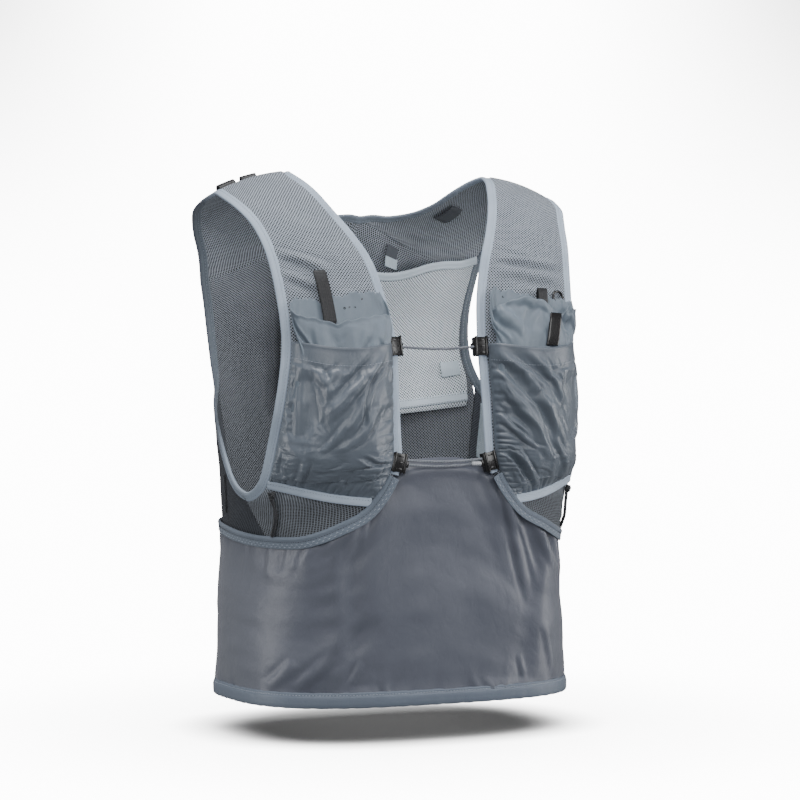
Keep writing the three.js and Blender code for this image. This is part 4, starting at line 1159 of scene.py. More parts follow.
# %% Chest pockets
MOUTH, FOOT = (6.0, 5.95), (10.45, 10.35)
POCKET_INSET = 7.8 - 2.6
POCKET_TALL, POCKET_WIDE, POCKET_ROWS, POCKET_COLUMNS = 150, 98, 120, 130
POCKET_FOLDS = {
    -1: [
        (3.4, 4.2, [(0.05, 0.23), (0.11, 0.35), (0.17, 0.48), (0.23, 0.58)]),
        (-2.4, 3.6, [(0.04, 0.25), (0.11, 0.45), (0.19, 0.63)]),
        (-3.8, 2.2, [(0.07, 0.15), (0.13, 0.27), (0.21, 0.33), (0.30, 0.32)]),
        (2.8, 4.0, [(0.07, 0.19), (0.15, 0.31), (0.24, 0.37), (0.34, 0.43)]),
        (2.8, 4.6, [(0.26, 0.23), (0.33, 0.29), (0.43, 0.43)]),
        (1.8, 3.4, [(0.28, 0.44), (0.34, 0.51), (0.45, 0.60)]),
        (-3.0, 3.0, [(0.68, 0.10), (0.67, 0.18), (0.59, 0.28)]),
        (2.8, 3.4, [(0.73, 0.09), (0.73, 0.18), (0.74, 0.26)]),
        (-2.2, 2.4, [(0.82, 0.08), (0.83, 0.13), (0.86, 0.18)]),
        (-2.6, 2.2, [(0.12, 0.97), (0.23, 0.97), (0.36, 0.92)]),
        (2.0, 5.5, [(0.10, 0.93), (0.39, 0.87), (0.76, 0.85)]),
        (2.4, 3.0, [(0.66, 0.73), (0.81, 0.73), (0.98, 0.74)]),
        (-2.6, 1.8, [(0.87, 0.34), (0.93, 0.32), (0.99, 0.31)]),
        (-2.6, 1.8, [(0.87, 0.14), (0.93, 0.14), (0.98, 0.16)]),
        (1.8, 3.0, [(0.11, 0.80), (0.12, 0.69), (0.09, 0.57)]),
        (-2.4, 8.0, [(0.14, 0.75), (0.28, 0.70), (0.50, 0.58)]),
        (1.6, 3.2, [(0.12, 0.73), (0.15, 0.67), (0.19, 0.64)]),
        (-1.6, 2.6, [(0.60, 0.92), (0.72, 0.94), (0.84, 0.90)]),
    ],
    1: [
        (3.6, 4.6, [(0.03, 0.03), (0.08, 0.17), (0.13, 0.29), (0.23, 0.45), (0.37, 0.57)]),
        (-3.4, 3.8, [(0.07, 0.02), (0.12, 0.17), (0.23, 0.37), (0.54, 0.49)]),
        (3.4, 4.6, [(0.16, 0.03), (0.22, 0.17), (0.30, 0.28), (0.55, 0.40)]),
        (-3.0, 3.8, [(0.03, 0.16), (0.06, 0.31), (0.12, 0.45), (0.25, 0.62)]),
        (2.2, 4.0, [(0.03, 0.37), (0.10, 0.49), (0.19, 0.63)]),
        (-3.2, 3.4, [(0.28, 0.02), (0.29, 0.15), (0.34, 0.27), (0.44, 0.32)]),
        (2.6, 3.2, [(0.32, 0.03), (0.38, 0.15), (0.47, 0.28)]),
        (-3.6, 3.2, [(0.57, 0.02), (0.64, 0.11), (0.82, 0.18), (0.98, 0.24)]),
        (2.8, 3.4, [(0.55, 0.13), (0.77, 0.23), (0.99, 0.31)]),
        (2.2, 3.8, [(0.63, 0.03), (0.79, 0.09), (0.95, 0.14)]),
        (-2.6, 2.0, [(0.88, 0.39), (0.94, 0.38), (0.99, 0.36)]),
        (-1.8, 5.0, [(0.48, 0.56), (0.78, 0.54), (0.98, 0.58)]),
        (-1.8, 2.2, [(0.08, 0.52), (0.11, 0.55), (0.15, 0.57)]),
        (1.6, 2.4, [(0.08, 0.60), (0.11, 0.63), (0.16, 0.65)]),
        (1.8, 3.4, [(0.42, 0.50), (0.60, 0.60), (0.80, 0.66)]),
    ],
}


def fold_lines(tall, wide, rows, reach):
    """Folds along bent lines. A row is height, half width, and points as shares of the reach."""
    total = np.zeros(tall.shape)
    for height, half, spots in rows:
        curve = smooth_curve([np.array([u * reach[0], v * reach[1], 0.0]) for u, v in spots])
        line = curve(np.linspace(0, len(spots) - 1, 40))[:, :2]
        run = unit(np.gradient(line, axis=0))
        gap = np.stack([tall, wide], -1)[..., None, :] - line
        near = np.argmin(np.sum(gap**2, -1), -1)
        off = np.take_along_axis(gap, near[..., None, None], -2)[..., 0, :]
        way = run[near]
        side_off = (off[..., 0] * way[..., 1] - off[..., 1] * way[..., 0]) / half
        past = np.sum(off * way, -1) / (half * 1.6)
        share = near / 39
        body = np.minimum(1, 0.45 + 2.2 * share) * (1 - 0.5 * share**3) * np.exp(-(past**2))
        crest = 1 / (1 + (side_off * 1.2) ** 4) - 0.4 * np.exp(-(((np.abs(side_off) - 1.5) / 0.5) ** 2))
        total = total + height * body * crest
    return total


def pocket_points(side, rows=POCKET_ROWS, columns=POCKET_COLUMNS):
    along = np.linspace(0, 1, rows + 1)[:, None]
    across = (1 - np.cos(np.pi * np.linspace(0, 1, columns + 1)))[None] / 2
    mouth = MOUTH[0] + (MOUTH[1] - MOUTH[0]) * across
    foot = FOOT[0] + (FOOT[1] - FOOT[0]) * across
    arch = np.sin(np.pi * across)
    row = mouth + (foot - mouth) * along + 0.16 * arch
    edge = POCKET_INSET / width_of(side.front, row)
    point, normal = side.front_stop(row, edge + (1 - 2 * edge) * across)
    for _ in range(60):
        normal[1:-1] = unit(normal[:-2] + normal[2:])
    swell = np.maximum(arch, 1e-9) ** 0.42 * (1 - along**6)
    reach = POCKET_OUT * (1 - along) + POCKET_LOW * along
    tall, wide = along * POCKET_TALL + 0 * across, across * POCKET_WIDE + 0 * along
    folds = fold_lines(tall, wide, POCKET_FOLDS[side.sign], (POCKET_TALL, POCKET_WIDE))
    shape = folds.shape
    soft = np.minimum(1, 4.5 * np.maximum(arch, 0)) * (1 - along**8)
    noise = ripple_noise(shape, (26, 2), 91 + side.sign)
    pitch, fall = (3.6, 5.5) if side.sign < 0 else (2.35, 8.5)
    cusp = 1.7 * np.abs(np.sin(tall / pitch + 0.9 * noise)) ** 0.8 - 1.1
    seam = 2.3 * np.exp(-wide / fall) * (0.8 + 0.5 * ripple_noise(shape, (12, 2), 90)) * np.minimum(1, wide / 1.2)
    outer = 0.22 * np.exp(-(POCKET_WIDE - wide) / 6) * np.sin(tall / 2.3 + 2 * noise)
    pucker = (seam * cusp + outer) * ease(along, 0.05, 0.12)
    cusp = 1.7 * np.abs(np.sin(wide / 2.5 + 1.6 * ripple_noise(shape, (2, 16), 93))) ** 0.8 - 1.1
    above = POCKET_TALL - tall
    base = 1.9 * np.exp(-above / 8.0) * cusp * (0.8 + 0.7 * ripple_noise(shape, (2, 14), 94)) * np.minimum(1, above / 1.2)
    hem = 0.8 * np.exp(-((tall / 1.3) ** 2)) - 0.35 * np.exp(-(((tall - 12.0) / 1.0) ** 2))
    gather = across > (0.35 if side.sign > 0 else 0.15)
    frill = np.sin(wide / 1.4 + ripple_noise(shape, (2, 30), 95) * 2)
    hem = hem + np.exp(-(((tall - 16) / 5) ** 2)) * 0.45 * gather * frill
    facets = 0.5 - np.abs(ripple_noise(shape, (16, 12), 97))
    crumple = 0.9 * ripple_noise(shape, (7, 5), 96 + side.sign) + 0.5 * facets
    held = 0.15 + 0.85 * ease(along, 0.0, 0.09)
    lift = 2.0 + reach * swell + (folds + crumple) * soft * held + pucker + base + hem * soft
    return point + normal * np.maximum(lift, 1.2)[..., None], normal


def let_crumple(piece, loose, grow, press, cap, frames=20):
    """Pins the edges of a cloth that is cut too wide and lets it settle, by cap mm at most."""
    rest = np.array([v.co[:] for v in piece.data.vertices])
    held = piece.vertex_groups.new(name="held")
    for index, share in enumerate(loose.ravel()):
        held.add([index], float(1 - share), "REPLACE")
    settle = piece.modifiers.new("settle", "CLOTH")
    fabric = settle.settings
    fabric.quality, fabric.mass = 5, 0.12
    fabric.tension_stiffness = fabric.compression_stiffness = 25
    fabric.shear_stiffness, fabric.bending_stiffness = 12, 0.25
    fabric.air_damping = 2.0
    fabric.vertex_group_mass, fabric.shrink_min = "held", -grow
    fabric.use_pressure, fabric.uniform_pressure_force = True, press
    fabric.effector_weights.gravity = 0
    settle.collision_settings.use_collision = False
    settle.point_cache.frame_start, settle.point_cache.frame_end = 1, frames
    scene = bpy.context.scene
    for frame_number in range(1, frames + 1):
        scene.frame_set(frame_number)
    soft = piece.evaluated_get(bpy.context.evaluated_depsgraph_get()).to_mesh()
    moved = np.array([v.co[:] for v in soft.vertices])
    piece.modifiers.remove(settle)
    scene.frame_set(1)
    step = moved - rest
    size = np.linalg.norm(step, axis=1, keepdims=True)
    step = step * np.minimum(1, cap * 0.001 / np.maximum(size, 1e-9))
    for vert, place in zip(piece.data.vertices, rest + step):
        vert.co = place
    print(piece.name, "settles by, mm", round(float(size.max()) * 1000, 1), "kept to", cap)


for side in (RIGHT, LEFT):
    points, normal = pocket_points(side)
    pocket = grid_piece(f"chest_pocket_{side.word}", points)
    rows, columns = np.meshgrid(*(np.linspace(0, 1, count) for count in points.shape[:2]), indexing="ij")
    loose = ease(np.minimum(rows * 9, 1)) * ease(np.minimum((1 - rows) * 14, 1))
    loose = loose * ease(np.minimum(columns * 10, 1)) * ease(np.minimum((1 - columns) * 10, 1))
    let_crumple(pocket, loose, 0.035, 0.5, 3.0)
    middle = pocket.data.polygons[len(pocket.data.polygons) // 2]
    if np.array(middle.normal) @ normal[POCKET_ROWS // 2, POCKET_COLUMNS // 2] < 0:
        pocket.data.flip_normals()
    thickened(pocket, 0.9)
    hand_over(pocket, [f"pocket_{side.word}"], pocket_nylon)
    path = points[8, 4:-4]
    hem_line = path_frame(path, normal[8, 4:-4], points[10, 4:-4] - path)
    sew(f"pocket_mouth_stitch_{side.word}", hem_line, 2.8, 0.4, 0.5, 0.0)


def pocket_foot(side):
    across = np.linspace(0, 1, 11)
    row = FOOT[0] + (FOOT[1] - FOOT[0]) * across + 0.16 * np.sin(np.pi * across)
    width = width_of(side.front, row)
    edge = (POCKET_INSET + 1.0) / width
    place = edge + (1 - 2 * edge) * across
    run = np.linalg.norm(side.front(row, place) - side.front(row + 0.2, place), axis=-1) * 5
    point, normal = side.front_stop(row + 4.6 / run, place)
    above = side.front_stop(row - 0.1, place)[0]
    return np.stack([point + normal * 2.9, normal, unit(above - point)], axis=1)


for side in (RIGHT, LEFT):
    stops = even_path(pocket_foot(side), 1.5)
    section = rolled_tape(8.6, 3.4, 0.4, 0.25)
    bind(f"pocket_foot_tape_{side.word}", stops, section, f"pocket_binding_{side.word}", edge_tape)
    sew(f"pocket_foot_stitch_{side.word}", stops, 2.8, 0.45, 0.95, 1.7, finish=dark_thread)

# %% [markdown]
# A second, thinner sleeve stands out of each pocket and holds the neck of a soft flask.
# It is a closed ring of cloth. One table lists how high the front and the back of its
# rim stand, and another lists its folds. Small scallops follow the cord in its rim.

# %% Inner flask sleeves
SLEEVE_DEEP, SLEEVE_TALL, SLEEVE_ROUND = 14.5, 70, 230
FRONT_LIP = {
    -1: [(0.06, 5.48), (0.17, 5.50), (0.30, 5.55), (0.50, 5.62), (0.58, 5.68), (0.76, 5.54), (0.88, 5.45), (0.94, 5.36)],
    1: [(0.06, 5.34), (0.18, 5.20), (0.33, 5.10), (0.53, 5.16), (0.71, 5.46), (0.78, 5.40), (0.86, 5.08), (0.94, 5.30)],
}
BACK_LIP = {
    -1: [(0.06, 4.92), (0.11, 4.89), (0.33, 4.90), (0.54, 5.00), (0.60, 5.16), (0.71, 5.06), (0.83, 4.98), (0.94, 5.06)],
    1: [(0.06, 4.77), (0.23, 4.80), (0.39, 4.87), (0.57, 4.96), (0.80, 4.98), (0.94, 5.02)],
}
SLEEVE_FOLDS = {
    -1: [
        (-2.6, 2.6, [(0.10, 0.03), (0.28, 0.09), (0.44, 0.13)]), (1.6, 3.0, [(0.16, 0.01), (0.38, 0.06), (0.50, 0.09)]),
        (-2.2, 6.0, [(0.12, 0.22), (0.30, 0.23), (0.48, 0.24)]), (1.8, 5.0, [(0.06, 0.16), (0.26, 0.16), (0.46, 0.17)]),
        (-1.8, 4.0, [(0.22, 0.33), (0.36, 0.32), (0.50, 0.30)]), (1.8, 5.0, [(0.06, 0.38), (0.24, 0.37), (0.40, 0.35)]),
        (-2.0, 2.4, [(0.30, 0.36), (0.38, 0.40), (0.44, 0.45)]),
    ],
    1: [
        (-4.6, 3.0, [(0.00, 0.455), (0.14, 0.43), (0.30, 0.38)]), (3.2, 3.6, [(0.00, 0.42), (0.12, 0.38), (0.30, 0.33)]),
        (2.6, 3.4, [(0.00, 0.35), (0.03, 0.28), (0.04, 0.22)]), (-2.2, 3.4, [(0.04, 0.26), (0.16, 0.29), (0.34, 0.31)]),
        (-5.0, 3.0, [(0.02, 0.150), (0.14, 0.135), (0.26, 0.10)]), (3.4, 3.8, [(0.00, 0.11), (0.12, 0.085), (0.34, 0.07)]),
        (-2.6, 2.0, [(0.20, 0.10), (0.28, 0.06), (0.34, 0.02)]), (2.4, 3.6, [(0.10, 0.22), (0.24, 0.21), (0.40, 0.19)]),
        (-2.8, 2.2, [(0.18, 0.47), (0.26, 0.43), (0.34, 0.41)]), (2.2, 2.0, [(0.22, 0.48), (0.30, 0.45), (0.38, 0.43)]),
    ],
}


def flask_sleeve_points(side, rows=62, columns=220):
    u = np.linspace(0, 1, rows + 1)[:, None]
    turn = (2 * np.pi * np.linspace(0, 1, columns + 1))[None]
    shape = (rows + 1, columns + 1)
    front = ease(np.sin(turn), -0.35, 0.35)
    across = 0.5 + (0.40 + 0.045 * ease(1 - 2.4 * u, 0.0, 0.6)) * np.cos(turn)
    lips = [np.interp(across, *np.array(table[side.sign]).T) for table in (BACK_LIP, FRONT_LIP)]
    top = lips[0] * (1 - front) + lips[1] * front
    scallop = 0.022 * np.sin(turn * 47) + 0.03 * np.sin(turn * 13 + side.sign)
    top = top + (1 - front) * scallop + front * 0.012 * np.sin(turn * 19)
    row = top + (7.2 - top) * u
    point, normal = side.front_stop(row, across)
    clear = 2.4 + 2.2 * np.minimum(1, 1.6 * (1 - u))
    lean = (1 - u) ** 2 * (1.5 + 1.2 * np.sin(turn * 3 + 1.0 + side.sign)) * front
    height = clear + SLEEVE_DEEP / 2 + (SLEEVE_DEEP / 2) * np.sin(turn) + lean
    tall, around = u * SLEEVE_TALL + 0 * turn, turn / (2 * np.pi) * SLEEVE_ROUND + 0 * u
    folds = fold_lines(tall, around, SLEEVE_FOLDS[side.sign], (SLEEVE_TALL, SLEEVE_ROUND))
    folds = folds + 0.9 * (1 - front) * np.sin(turn * 9 + 2 * np.sin(turn * 2)) * (1 - u)
    facets = 0.5 - np.abs(ripple_noise(shape, (4, 15), 33 + side.sign))
    facets = facets * (2.6 if side.sign > 0 else 0.9) + 0.5 * ripple_noise(shape, (9, 40), 35)
    hem = 0.8 * np.exp(-((tall / 0.9) ** 2)) - 0.3 * np.exp(-(((tall - 3.4) / 0.7) ** 2))
    facets[:, -1] = facets[:, 0]
    folds[:, -1] = folds[:, 0]
    blend = ease(np.linspace(0, 1, columns + 1)[None], 0.95, 1.0)
    relief = folds + facets * (1 - u) ** 0.5 + hem * front
    relief = relief * (1 - blend) + relief[:, :1] * blend
    return point + normal * np.maximum(height + relief, 1.6)[..., None], normal


for side in (RIGHT, LEFT):
    points, normal = flask_sleeve_points(side)
    points[:, -1] = points[:, 0]
    sleeve = grid_piece(f"flask_sleeve_{side.word}", points, arc_uv(points, True), True)
    merge_seam(sleeve, turn_out=False)
    thickened(sleeve, 0.9)
    hand_over(sleeve, [f"pocket_sleeve_{side.word}"], liner_nylon)

# %% [markdown]
# The clips are moulded channels that slide on the neck tape, with two rails and a loop
# for the cord. Each starts as a few corners, is extruded along the tape and has its
# edges rounded, because a moulded edge always catches a line of light.

# %% Rail clips
CLIP_ROWS = {"upper": 6.03, "lower": 8.98}
CLIP_ARM, CLIP_BACK, CLIP_DEEP, CLIP_TALL = 5.45, 9.55, 8.4, 18.0


def clip_axes(side, row):
    point, normal = side.front_stop(row, 0.0)
    run = unit(side.front(row + 0.3, 0.0) - side.front(row - 0.3, 0.0))
    out = unit(normal - run * float(normal @ run))
    return point, np.cross(out, run) * side.sign, out, run


def moulded_part(bm, corners, tall, matrix, rounding):
    """Extrudes a flat outline and rounds its edges, in mm, then puts it in its place."""
    verts = [bm.verts.new((x, y, -tall / 2)) for x, y in corners]
    face = bm.faces.new(verts)
    grown = bmesh.ops.extrude_face_region(bm, geom=[face])["geom"]
    moved = [g for g in grown if isinstance(g, bmesh.types.BMVert)]
    bmesh.ops.translate(bm, verts=moved, vec=(0, 0, tall))
    own = set(verts) | set(moved)
    faces = [f for f in bm.faces if all(v in own for v in f.verts)]
    bmesh.ops.recalc_face_normals(bm, faces=faces)
    edges = [e for e in bm.edges if all(v in own for v in e.verts)]
    made = bmesh.ops.bevel(bm, geom=edges, offset=rounding, segments=2, profile=0.5, affect="EDGES", material=-1)
    after = {v for f in made["faces"] for v in f.verts} | {v for v in own if v.is_valid}
    bmesh.ops.transform(bm, verts=list(after), matrix=matrix)


def axes_matrix(point, x_way, y_way, z_way):
    rows = np.stack([x_way, y_way, z_way, point], -1)
    return Matrix([list(rows[k]) for k in range(3)] + [[0, 0, 0, 1]])


def finish_mesh(name, bm, smooth=35):
    """An object from a bmesh in mm, with sharp edges above an angle in degrees."""
    bmesh.ops.scale(bm, verts=bm.verts, vec=(0.001, 0.001, 0.001))
    piece = added_object(name, bm)
    for face in piece.data.polygons:
        face.use_smooth = True
    piece.data.set_sharp_from_angle(angle=math.radians(smooth))
    return piece


def rail_clip(name, side, row):
    point, over, out, run = clip_axes(side, row)
    d, cut = CLIP_DEEP / 2, 1.6
    slot, back = 2.7, 5.55
    channel = [(CLIP_ARM, d - 0.6), (CLIP_ARM - 1.2, d), (-CLIP_BACK + cut, d), (-CLIP_BACK, d - cut),
               (-CLIP_BACK, -d + cut), (-CLIP_BACK + cut, -d), (CLIP_ARM - 1.2, -d), (CLIP_ARM, -d + 0.6),
               (CLIP_ARM, -slot), (-back, -slot), (-back, slot), (CLIP_ARM, slot)]
    bm = bmesh.new()
    moulded_part(bm, channel, CLIP_TALL, axes_matrix(point, over, out, run), 0.45)
    for start in (-CLIP_BACK + 1.2, CLIP_ARM - 3.6):
        rail = [(start, d - 0.4), (start + 2.4, d - 0.4), (start + 2.0, d + 1.1), (start + 0.4, d + 1.1)]
        moulded_part(bm, rail, CLIP_TALL + 1.6, axes_matrix(point, over, out, run), 0.3)
    for height in (-6.2, 0.0, 6.2):
        bar = [(-4.9, d - 0.3), (1.4, d - 0.3), (1.2, d + 0.5), (-4.7, d + 0.5)]
        moulded_part(bm, bar, 1.6, axes_matrix(point + run * height, over, out, run), 0.25)
    hook = [(-CLIP_BACK + 0.5, 1.8), (-CLIP_BACK - 2.2, 1.4), (-CLIP_BACK - 2.2, -1.4), (-CLIP_BACK + 0.5, -1.8)]
    moulded_part(bm, hook, 6.0, axes_matrix(point, over, out, run), 0.5)
    return finish_mesh(name, bm)


for side in (RIGHT, LEFT):
    for level, row in CLIP_ROWS.items():
        clip = rail_clip(f"rail_clip_{level}_{side.word}", side, row)
        hand_over(clip, [f"{level}_clip_{side.word}"], clip_acetal)

# %% [markdown]
# Thin elastic cords cross the chest from clip to clip. The lower one is doubled and ends
# in a pale shrunk sleeve. Each hangs in a slight sag, and its braid follows the UV map.

# %% Chest and side cords


def cord_tube(name, points, diameter, step=1.2):
    """A round cord through points, and its length in mm."""
    points = np.array(points, float)
    fine = smooth_curve(points)(np.linspace(0, len(points) - 1, 60 * len(points)))
    length = run_length(fine)
    at = np.linspace(0, length[-1], max(6, int(length[-1] / step)) + 1)
    line = np.stack([np.interp(at, length, fine[:, k]) for k in range(3)], -1)
    aim = np.array([0.31, -0.77, 0.55])
    stops = path_frame(line, np.tile(aim, (len(line), 1)), np.cross(unit(np.gradient(line, axis=0)), aim))
    return swept(name, stops, oval(diameter, diameter, 14, 1.0)), float(length[-1])


CLIP_REACH = 10.55


def chest_cord_points(row, drop, shortfall):
    """A cord from clip to clip in mm. A shortfall leaves room for the pale end sleeve."""
    start = RIGHT.front(row, 0.0) + np.array([CLIP_REACH, -0.6, drop])
    end = LEFT.front(row, 0.0) + np.array([-CLIP_REACH - shortfall, -0.6, drop])
    points = []
    for share in (0, 0.25, 0.5, 0.75, 1):
        sag = 4 * share * (1 - share)
        points.append(start * (1 - share) + end * share + np.array([0, -2 * sag, -2.0 * sag]))
    return points


RISE = (4.4 + 3.0) / 4 + 0.3
for name, row, drop, shortfall, node in (
    ("chest_cord_upper", CLIP_ROWS["upper"], 0, 0, "upper_cord"),
    ("chest_cord_lower_top", CLIP_ROWS["lower"], RISE, 0, "lower_cord_upper_strand"),
    ("chest_cord_lower_bottom", CLIP_ROWS["lower"], -RISE, 9.4, "lower_cord_lower_strand"),
):
    points = chest_cord_points(row, drop, shortfall)
    points[0] = points[0] - np.array([2.5, 0, 0])
    if not shortfall:
        points[-1] = points[-1] + np.array([2.5, 0, 0])
    tube, length = cord_tube(name, points, 2.6)
    hand_over(tube, [node], grey_cord)
    print(name, "mm", round(length))
tip_end = LEFT.front(CLIP_ROWS["lower"], 0.0) + np.array([-CLIP_REACH, -0.6, -RISE])
tip_points = [tip_end - np.array([9.6, 0, 0]), tip_end - np.array([4, 0, 0.1]), tip_end + np.array([2, 0, 0])]
tip, _ = cord_tube("cord_end", tip_points, 4.2)
hand_over(tip, ["cord_end_sleeve"], pale_tip)

SIDE_CORD = [(11.75, 0.84), (12.0, 0.80), (12.4, 0.70), (12.8, 0.58), (13.2, 0.44), (13.5, 0.30), (13.72, 0.16)]


def over_cloth(stop, places, height):
    point, normal = stop(np.array([p[0] for p in places], float), np.array([p[1] for p in places], float))
    return point + normal * height


def small_knot(name, middle, out, size):
    """An overhand knot: a closed trefoil of cord, turned to face out."""
    t = np.linspace(0, 2 * np.pi, 61)
    loop = np.stack([np.sin(t) + 2 * np.sin(2 * t), np.cos(t) - 2 * np.cos(2 * t), -1.3 * np.sin(3 * t)], -1) * size
    side_way = unit(np.cross(out, [0, 0, 1.0]))
    line = middle + loop[:, :1] * side_way + loop[:, 1:2] * np.cross(side_way, out) + loop[:, 2:] * out
    run = unit(np.gradient(line, axis=0))
    around = unit(line - middle)
    return swept(name, path_frame(line, around, np.cross(run, around), True), oval(3.0, 3.0, 12, 1.0), True)


for side in (RIGHT, LEFT):
    points = over_cloth(side.front_stop, SIDE_CORD, 3.2)
    tube, length = cord_tube(f"side_cord_{side.word}_braid", points, 3.4)
    hand_over(tube, [f"side_cord_{side.word}"], black_cord)
    point, normal = side.front_stop(11.62, 0.84)
    knot = small_knot(f"side_knot_{side.word}_tied", point + normal * 4.7, normal, 0.95)
    hand_over(knot, [f"side_knot_{side.word}"], black_cord)
    print("side cord mm", round(length))
LACE = [(0.42, 0.80), (0.425, 0.68), (0.43, 0.55), (0.445, 0.40), (0.46, 0.25)]
lace, _ = cord_tube("side_lace_cord", over_cloth(RIGHT.flank_stop, LACE, 2.2), 2.0)
hand_over(lace, ["side_lace"], black_cord)

# %% [markdown]
# Small webbing parts: tabs on the shoulder, a loop and a tag inside the back, a tab and a
# strap at the far side, the loops that stand out of the flask sleeves and a flat pull.
# Each is a strip of grid that follows a short route over the cloth.

# %% Tabs, tags, loops and the ring


def laid_strip(name, stop, route, places, thickness, nodes, material, slant=0.0):
    """A strip whose route lists row and height. places are its two sides across the cloth."""
    route = np.array(route, float)
    fine = np.linspace(0, len(route) - 1, (len(route) - 1) * 7 + 1)
    line = smooth_curve(np.column_stack([route, np.zeros(len(route))]))(fine)
    share = np.linspace(0, 1, 9)[None]
    row = line[:, :1] * np.ones_like(share)
    across = places[0] + (places[1] - places[0]) * share + slant * (np.linspace(0, 1, len(line))[:, None])
    point, normal = stop(row, across)
    piece = thickened(grid_piece(name, point + normal * line[:, 1:2, None]), thickness)
    rounding = piece.modifiers.new("edges", "BEVEL")
    rounding.width, rounding.segments, rounding.limit_method = thickness * 0.00028, 2, "ANGLE"
    return hand_over(piece, nodes, material)


TAB_ROUTE = [(0.52, 1.2), (0.60, 4.4), (0.76, 6.2), (0.90, 4.4), (0.98, 1.2)]
for word, places in (("outer", (0.66, 0.88)), ("inner", (0.38, 0.58))):
    laid_strip(f"shoulder_tab_{word}_loop", RIGHT.back_stop, TAB_ROUTE, places, 1.6,
               [f"shoulder_tab_{word}"], dark_webbing)
laid_strip("shoulder_loop_webbing", LEFT.back_stop, [(2.6, -1.4), (2.9, -3.4), (3.2, -3.4), (3.5, -1.4)],
           (0.16, 0.34), 1.3, ["shoulder_loop"], grey_webbing)
laid_strip("inner_tag_upper", LEFT.back_stop, [(6.2, -1.8), (6.35, -2.2), (6.5, -2.6)], (0.27, 0.36), 0.7,
           ["tag_upper"], grey_webbing)
laid_strip("inner_tag_lower", LEFT.back_stop, [(6.50, -2.4), (6.61, -2.9), (6.74, -3.6)], (0.272, 0.368), 0.6,
           ["tag_lower"], pale_webbing)
back_tab = WALL / 2 + GAP + SLEEVE_SEAT + SLEEVE_SPACE * 0.35 + 0.7
laid_strip("side_tab_webbing", LEFT.back_stop, [(9.3, -back_tab), (9.5, -back_tab - 1.6), (9.75, -back_tab)],
           (0.78, 0.92), 1.2, ["side_tab"], pale_webbing)
laid_strip("side_strap_webbing", LEFT.flank_stop, [(0.84, -1.9), (0.885, -2.4), (0.93, -1.9)], (0.46, 0.88), 1.2,
           ["side_strap"], pale_webbing)
in_sleeve = WALL * 1.5 + GAP * 2 + 3.3
LOOPS = {
    -1: [(6.0, 1.0), (5.2, 1.2), (4.55, 0.6), (4.36, 2.6), (4.58, 4.4), (5.2, 4.2), (5.6, 4.0)],
    1: [(6.0, 1.0), (5.4, 1.2), (4.95, 0.6), (4.76, 2.6), (4.95, 4.4), (5.4, 4.2), (5.7, 4.0)],
}
for side, places in ((RIGHT, (0.555, 0.665)), (LEFT, (0.55, 0.65))):
    route = [(row, in_sleeve + height) for row, height in LOOPS[side.sign]]
    laid_strip(f"flask_loop_{side.word}", side.front_stop, route, places, 1.3,
               [f"flask_tab_{side.word}"], dark_webbing)
pull_at = in_sleeve + SLEEVE_DEEP
laid_strip("pocket_pull_tab", LEFT.front_stop,
           [(5.42, pull_at + 1.0), (5.6, pull_at + 2.6), (5.85, pull_at + 2.2), (6.08, pull_at + 0.8)],
           (0.60, 0.72), 2.2, ["pocket_pull"], clip_acetal, slant=-0.07)

RING_RADIUS = 6.2
ring_stop, ring_normal = LEFT.front_stop(4.9, 0.84)
ring_middle = ring_stop + ring_normal * 3.0
turn = np.linspace(0, 2 * np.pi, 41)[:, None]
ring_side = unit(np.cross(ring_normal, [0, 0, 1.0]))
ring_up = np.cross(ring_side, ring_normal)
ring_line = ring_middle + (np.cos(turn) * ring_side + np.sin(turn) * ring_up) * RING_RADIUS
ring_stops = path_frame(ring_line, unit(ring_line - ring_middle), np.tile(ring_normal, (41, 1)), True)
hand_over(swept("sleeve_ring", ring_stops, oval(2.6, 2.4, 12, 1.0), True), ["pocket_ring"], clip_acetal)

# %% [markdown]
# The drain eyelets are small rings with a sunk middle. Those of a pocket sit on a corner
# of its grid, and those of a flask sleeve where a straight line meets the folded cloth,
# so both lie flat on the folds.

# %% Eyelets
POCKET_EYELETS = {-1: [(0.93, 0.80), (0.965, 0.38), (0.95, 0.16)], 1: [(0.93, 0.22), (0.955, 0.72)]}
SLEEVE_EYELETS = {-1: [(5.06, 0.26), (5.26, 0.44), (5.25, 0.39), (5.25, 0.34)], 1: [(4.97, 0.20)]}


def eyelets(name, spots, radius=1.5):
    """Small rolled rings, each with a sunk dark middle, set flat on the cloth."""
    bm = bmesh.new()
    for point, normal in spots:
        side_way = unit(np.cross(normal, [0.2, 0.1, 1.0]))
        matrix = axes_matrix(point, side_way, np.cross(normal, side_way), normal)
        disc = bmesh.ops.create_circle(bm, cap_ends=True, segments=14, radius=radius, matrix=matrix)["verts"]
        face = next(f for f in bm.faces if all(v in disc for v in f.verts))
        for width, height in ((0.35, 0.5), (0.3, -0.1), (0.3, -0.7)):
            bmesh.ops.inset_region(bm, faces=[face], thickness=width)
            bmesh.ops.translate(bm, verts=list(face.verts), vec=Vector(normal) * height)
    return finish_mesh(name, bm)


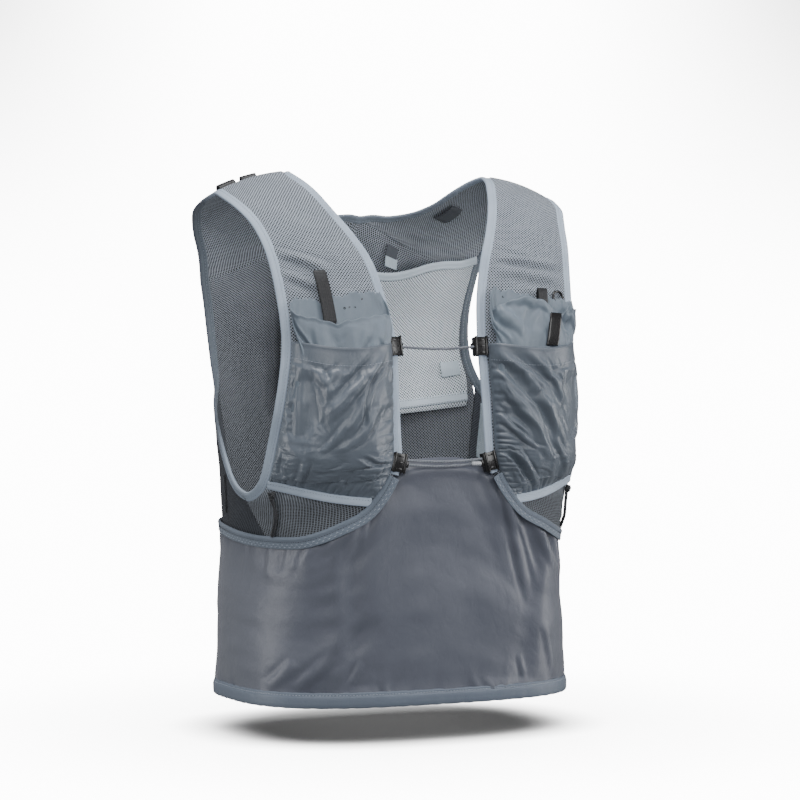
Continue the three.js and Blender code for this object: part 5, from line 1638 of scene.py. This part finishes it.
for side in (RIGHT, LEFT):
    pocket = bpy.data.objects[f"chest_pocket_{side.word}"]
    spots = []
    for along, across in POCKET_EYELETS[side.sign]:
        row = round(along * POCKET_ROWS)
        column = round(math.acos(1 - 2 * across) / math.pi * POCKET_COLUMNS)
        vert = pocket.data.vertices[row * (POCKET_COLUMNS + 1) + column]
        spots.append((np.array(vert.co) * 1000 + np.array(vert.normal) * 0.6, np.array(vert.normal)))
    hand_over(eyelets(f"pocket_eyelets_{side.word}", spots), [], eyelet_acetal)
    sleeve = bpy.data.objects[f"flask_sleeve_{side.word}"]
    sunk = []
    for row, across in SLEEVE_EYELETS[side.sign]:
        point, normal = side.front_stop(np.array(row), np.array(across))
        hit, place, face, _ = sleeve.ray_cast(Vector((point + normal * 12) / 1000), Vector(-normal))
        if hit:
            sunk.append((np.array(place) * 1000 + np.array(face) * 0.3, np.array(face)))
    hand_over(eyelets(f"sleeve_eyelets_{side.word}", sunk, 1.2), [], eyelet_acetal)
    print(pocket.name, "eyelets", len(spots), "sleeve eyelets", len(sunk))

# %% [markdown]
# The inside of the back is seen through the neck, where the panels in front leave it too
# dark. One more soft panel lights only the pieces in there, so the straps and pockets
# keep their own shade.

# %% Light through the neck
def lit_only(lamp, starts):
    """Links a lamp to the pieces whose names start with the given words."""
    group = bpy.data.collections.new(f"{lamp.name}_receivers")
    for piece in bpy.context.scene.objects:
        if piece.name.startswith(starts):
            group.objects.link(piece)
    lamp.light_linking.receiver_collection = group


lamp = soft_panel("neck_fill", toward(0.25, 1.9, 0.55), (0.03, 0.1, -0.12), (0.5, 0.5), 36)
lit_only(lamp, ("bladder_", "inner_tag", "side_tab", "side_strap"))
lit_only(rim_left, ("lower_wrap", "hem_", "wrap_tape", "strap_mesh_right", "chest_pocket_right"))

# %% [markdown]
# The box of the fixed solids and the box of the finished piece are both measured, and how much wider the finished piece
# is, in millimetres, is printed.

# %% Sizes and finish
low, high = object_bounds()
grow = [round((h - l - (ch - cl)) * 1000, 1) for l, h, cl, ch in zip(low, high, cad_low, cad_high)]
print("visual box wider than the solids by, mm", grow)
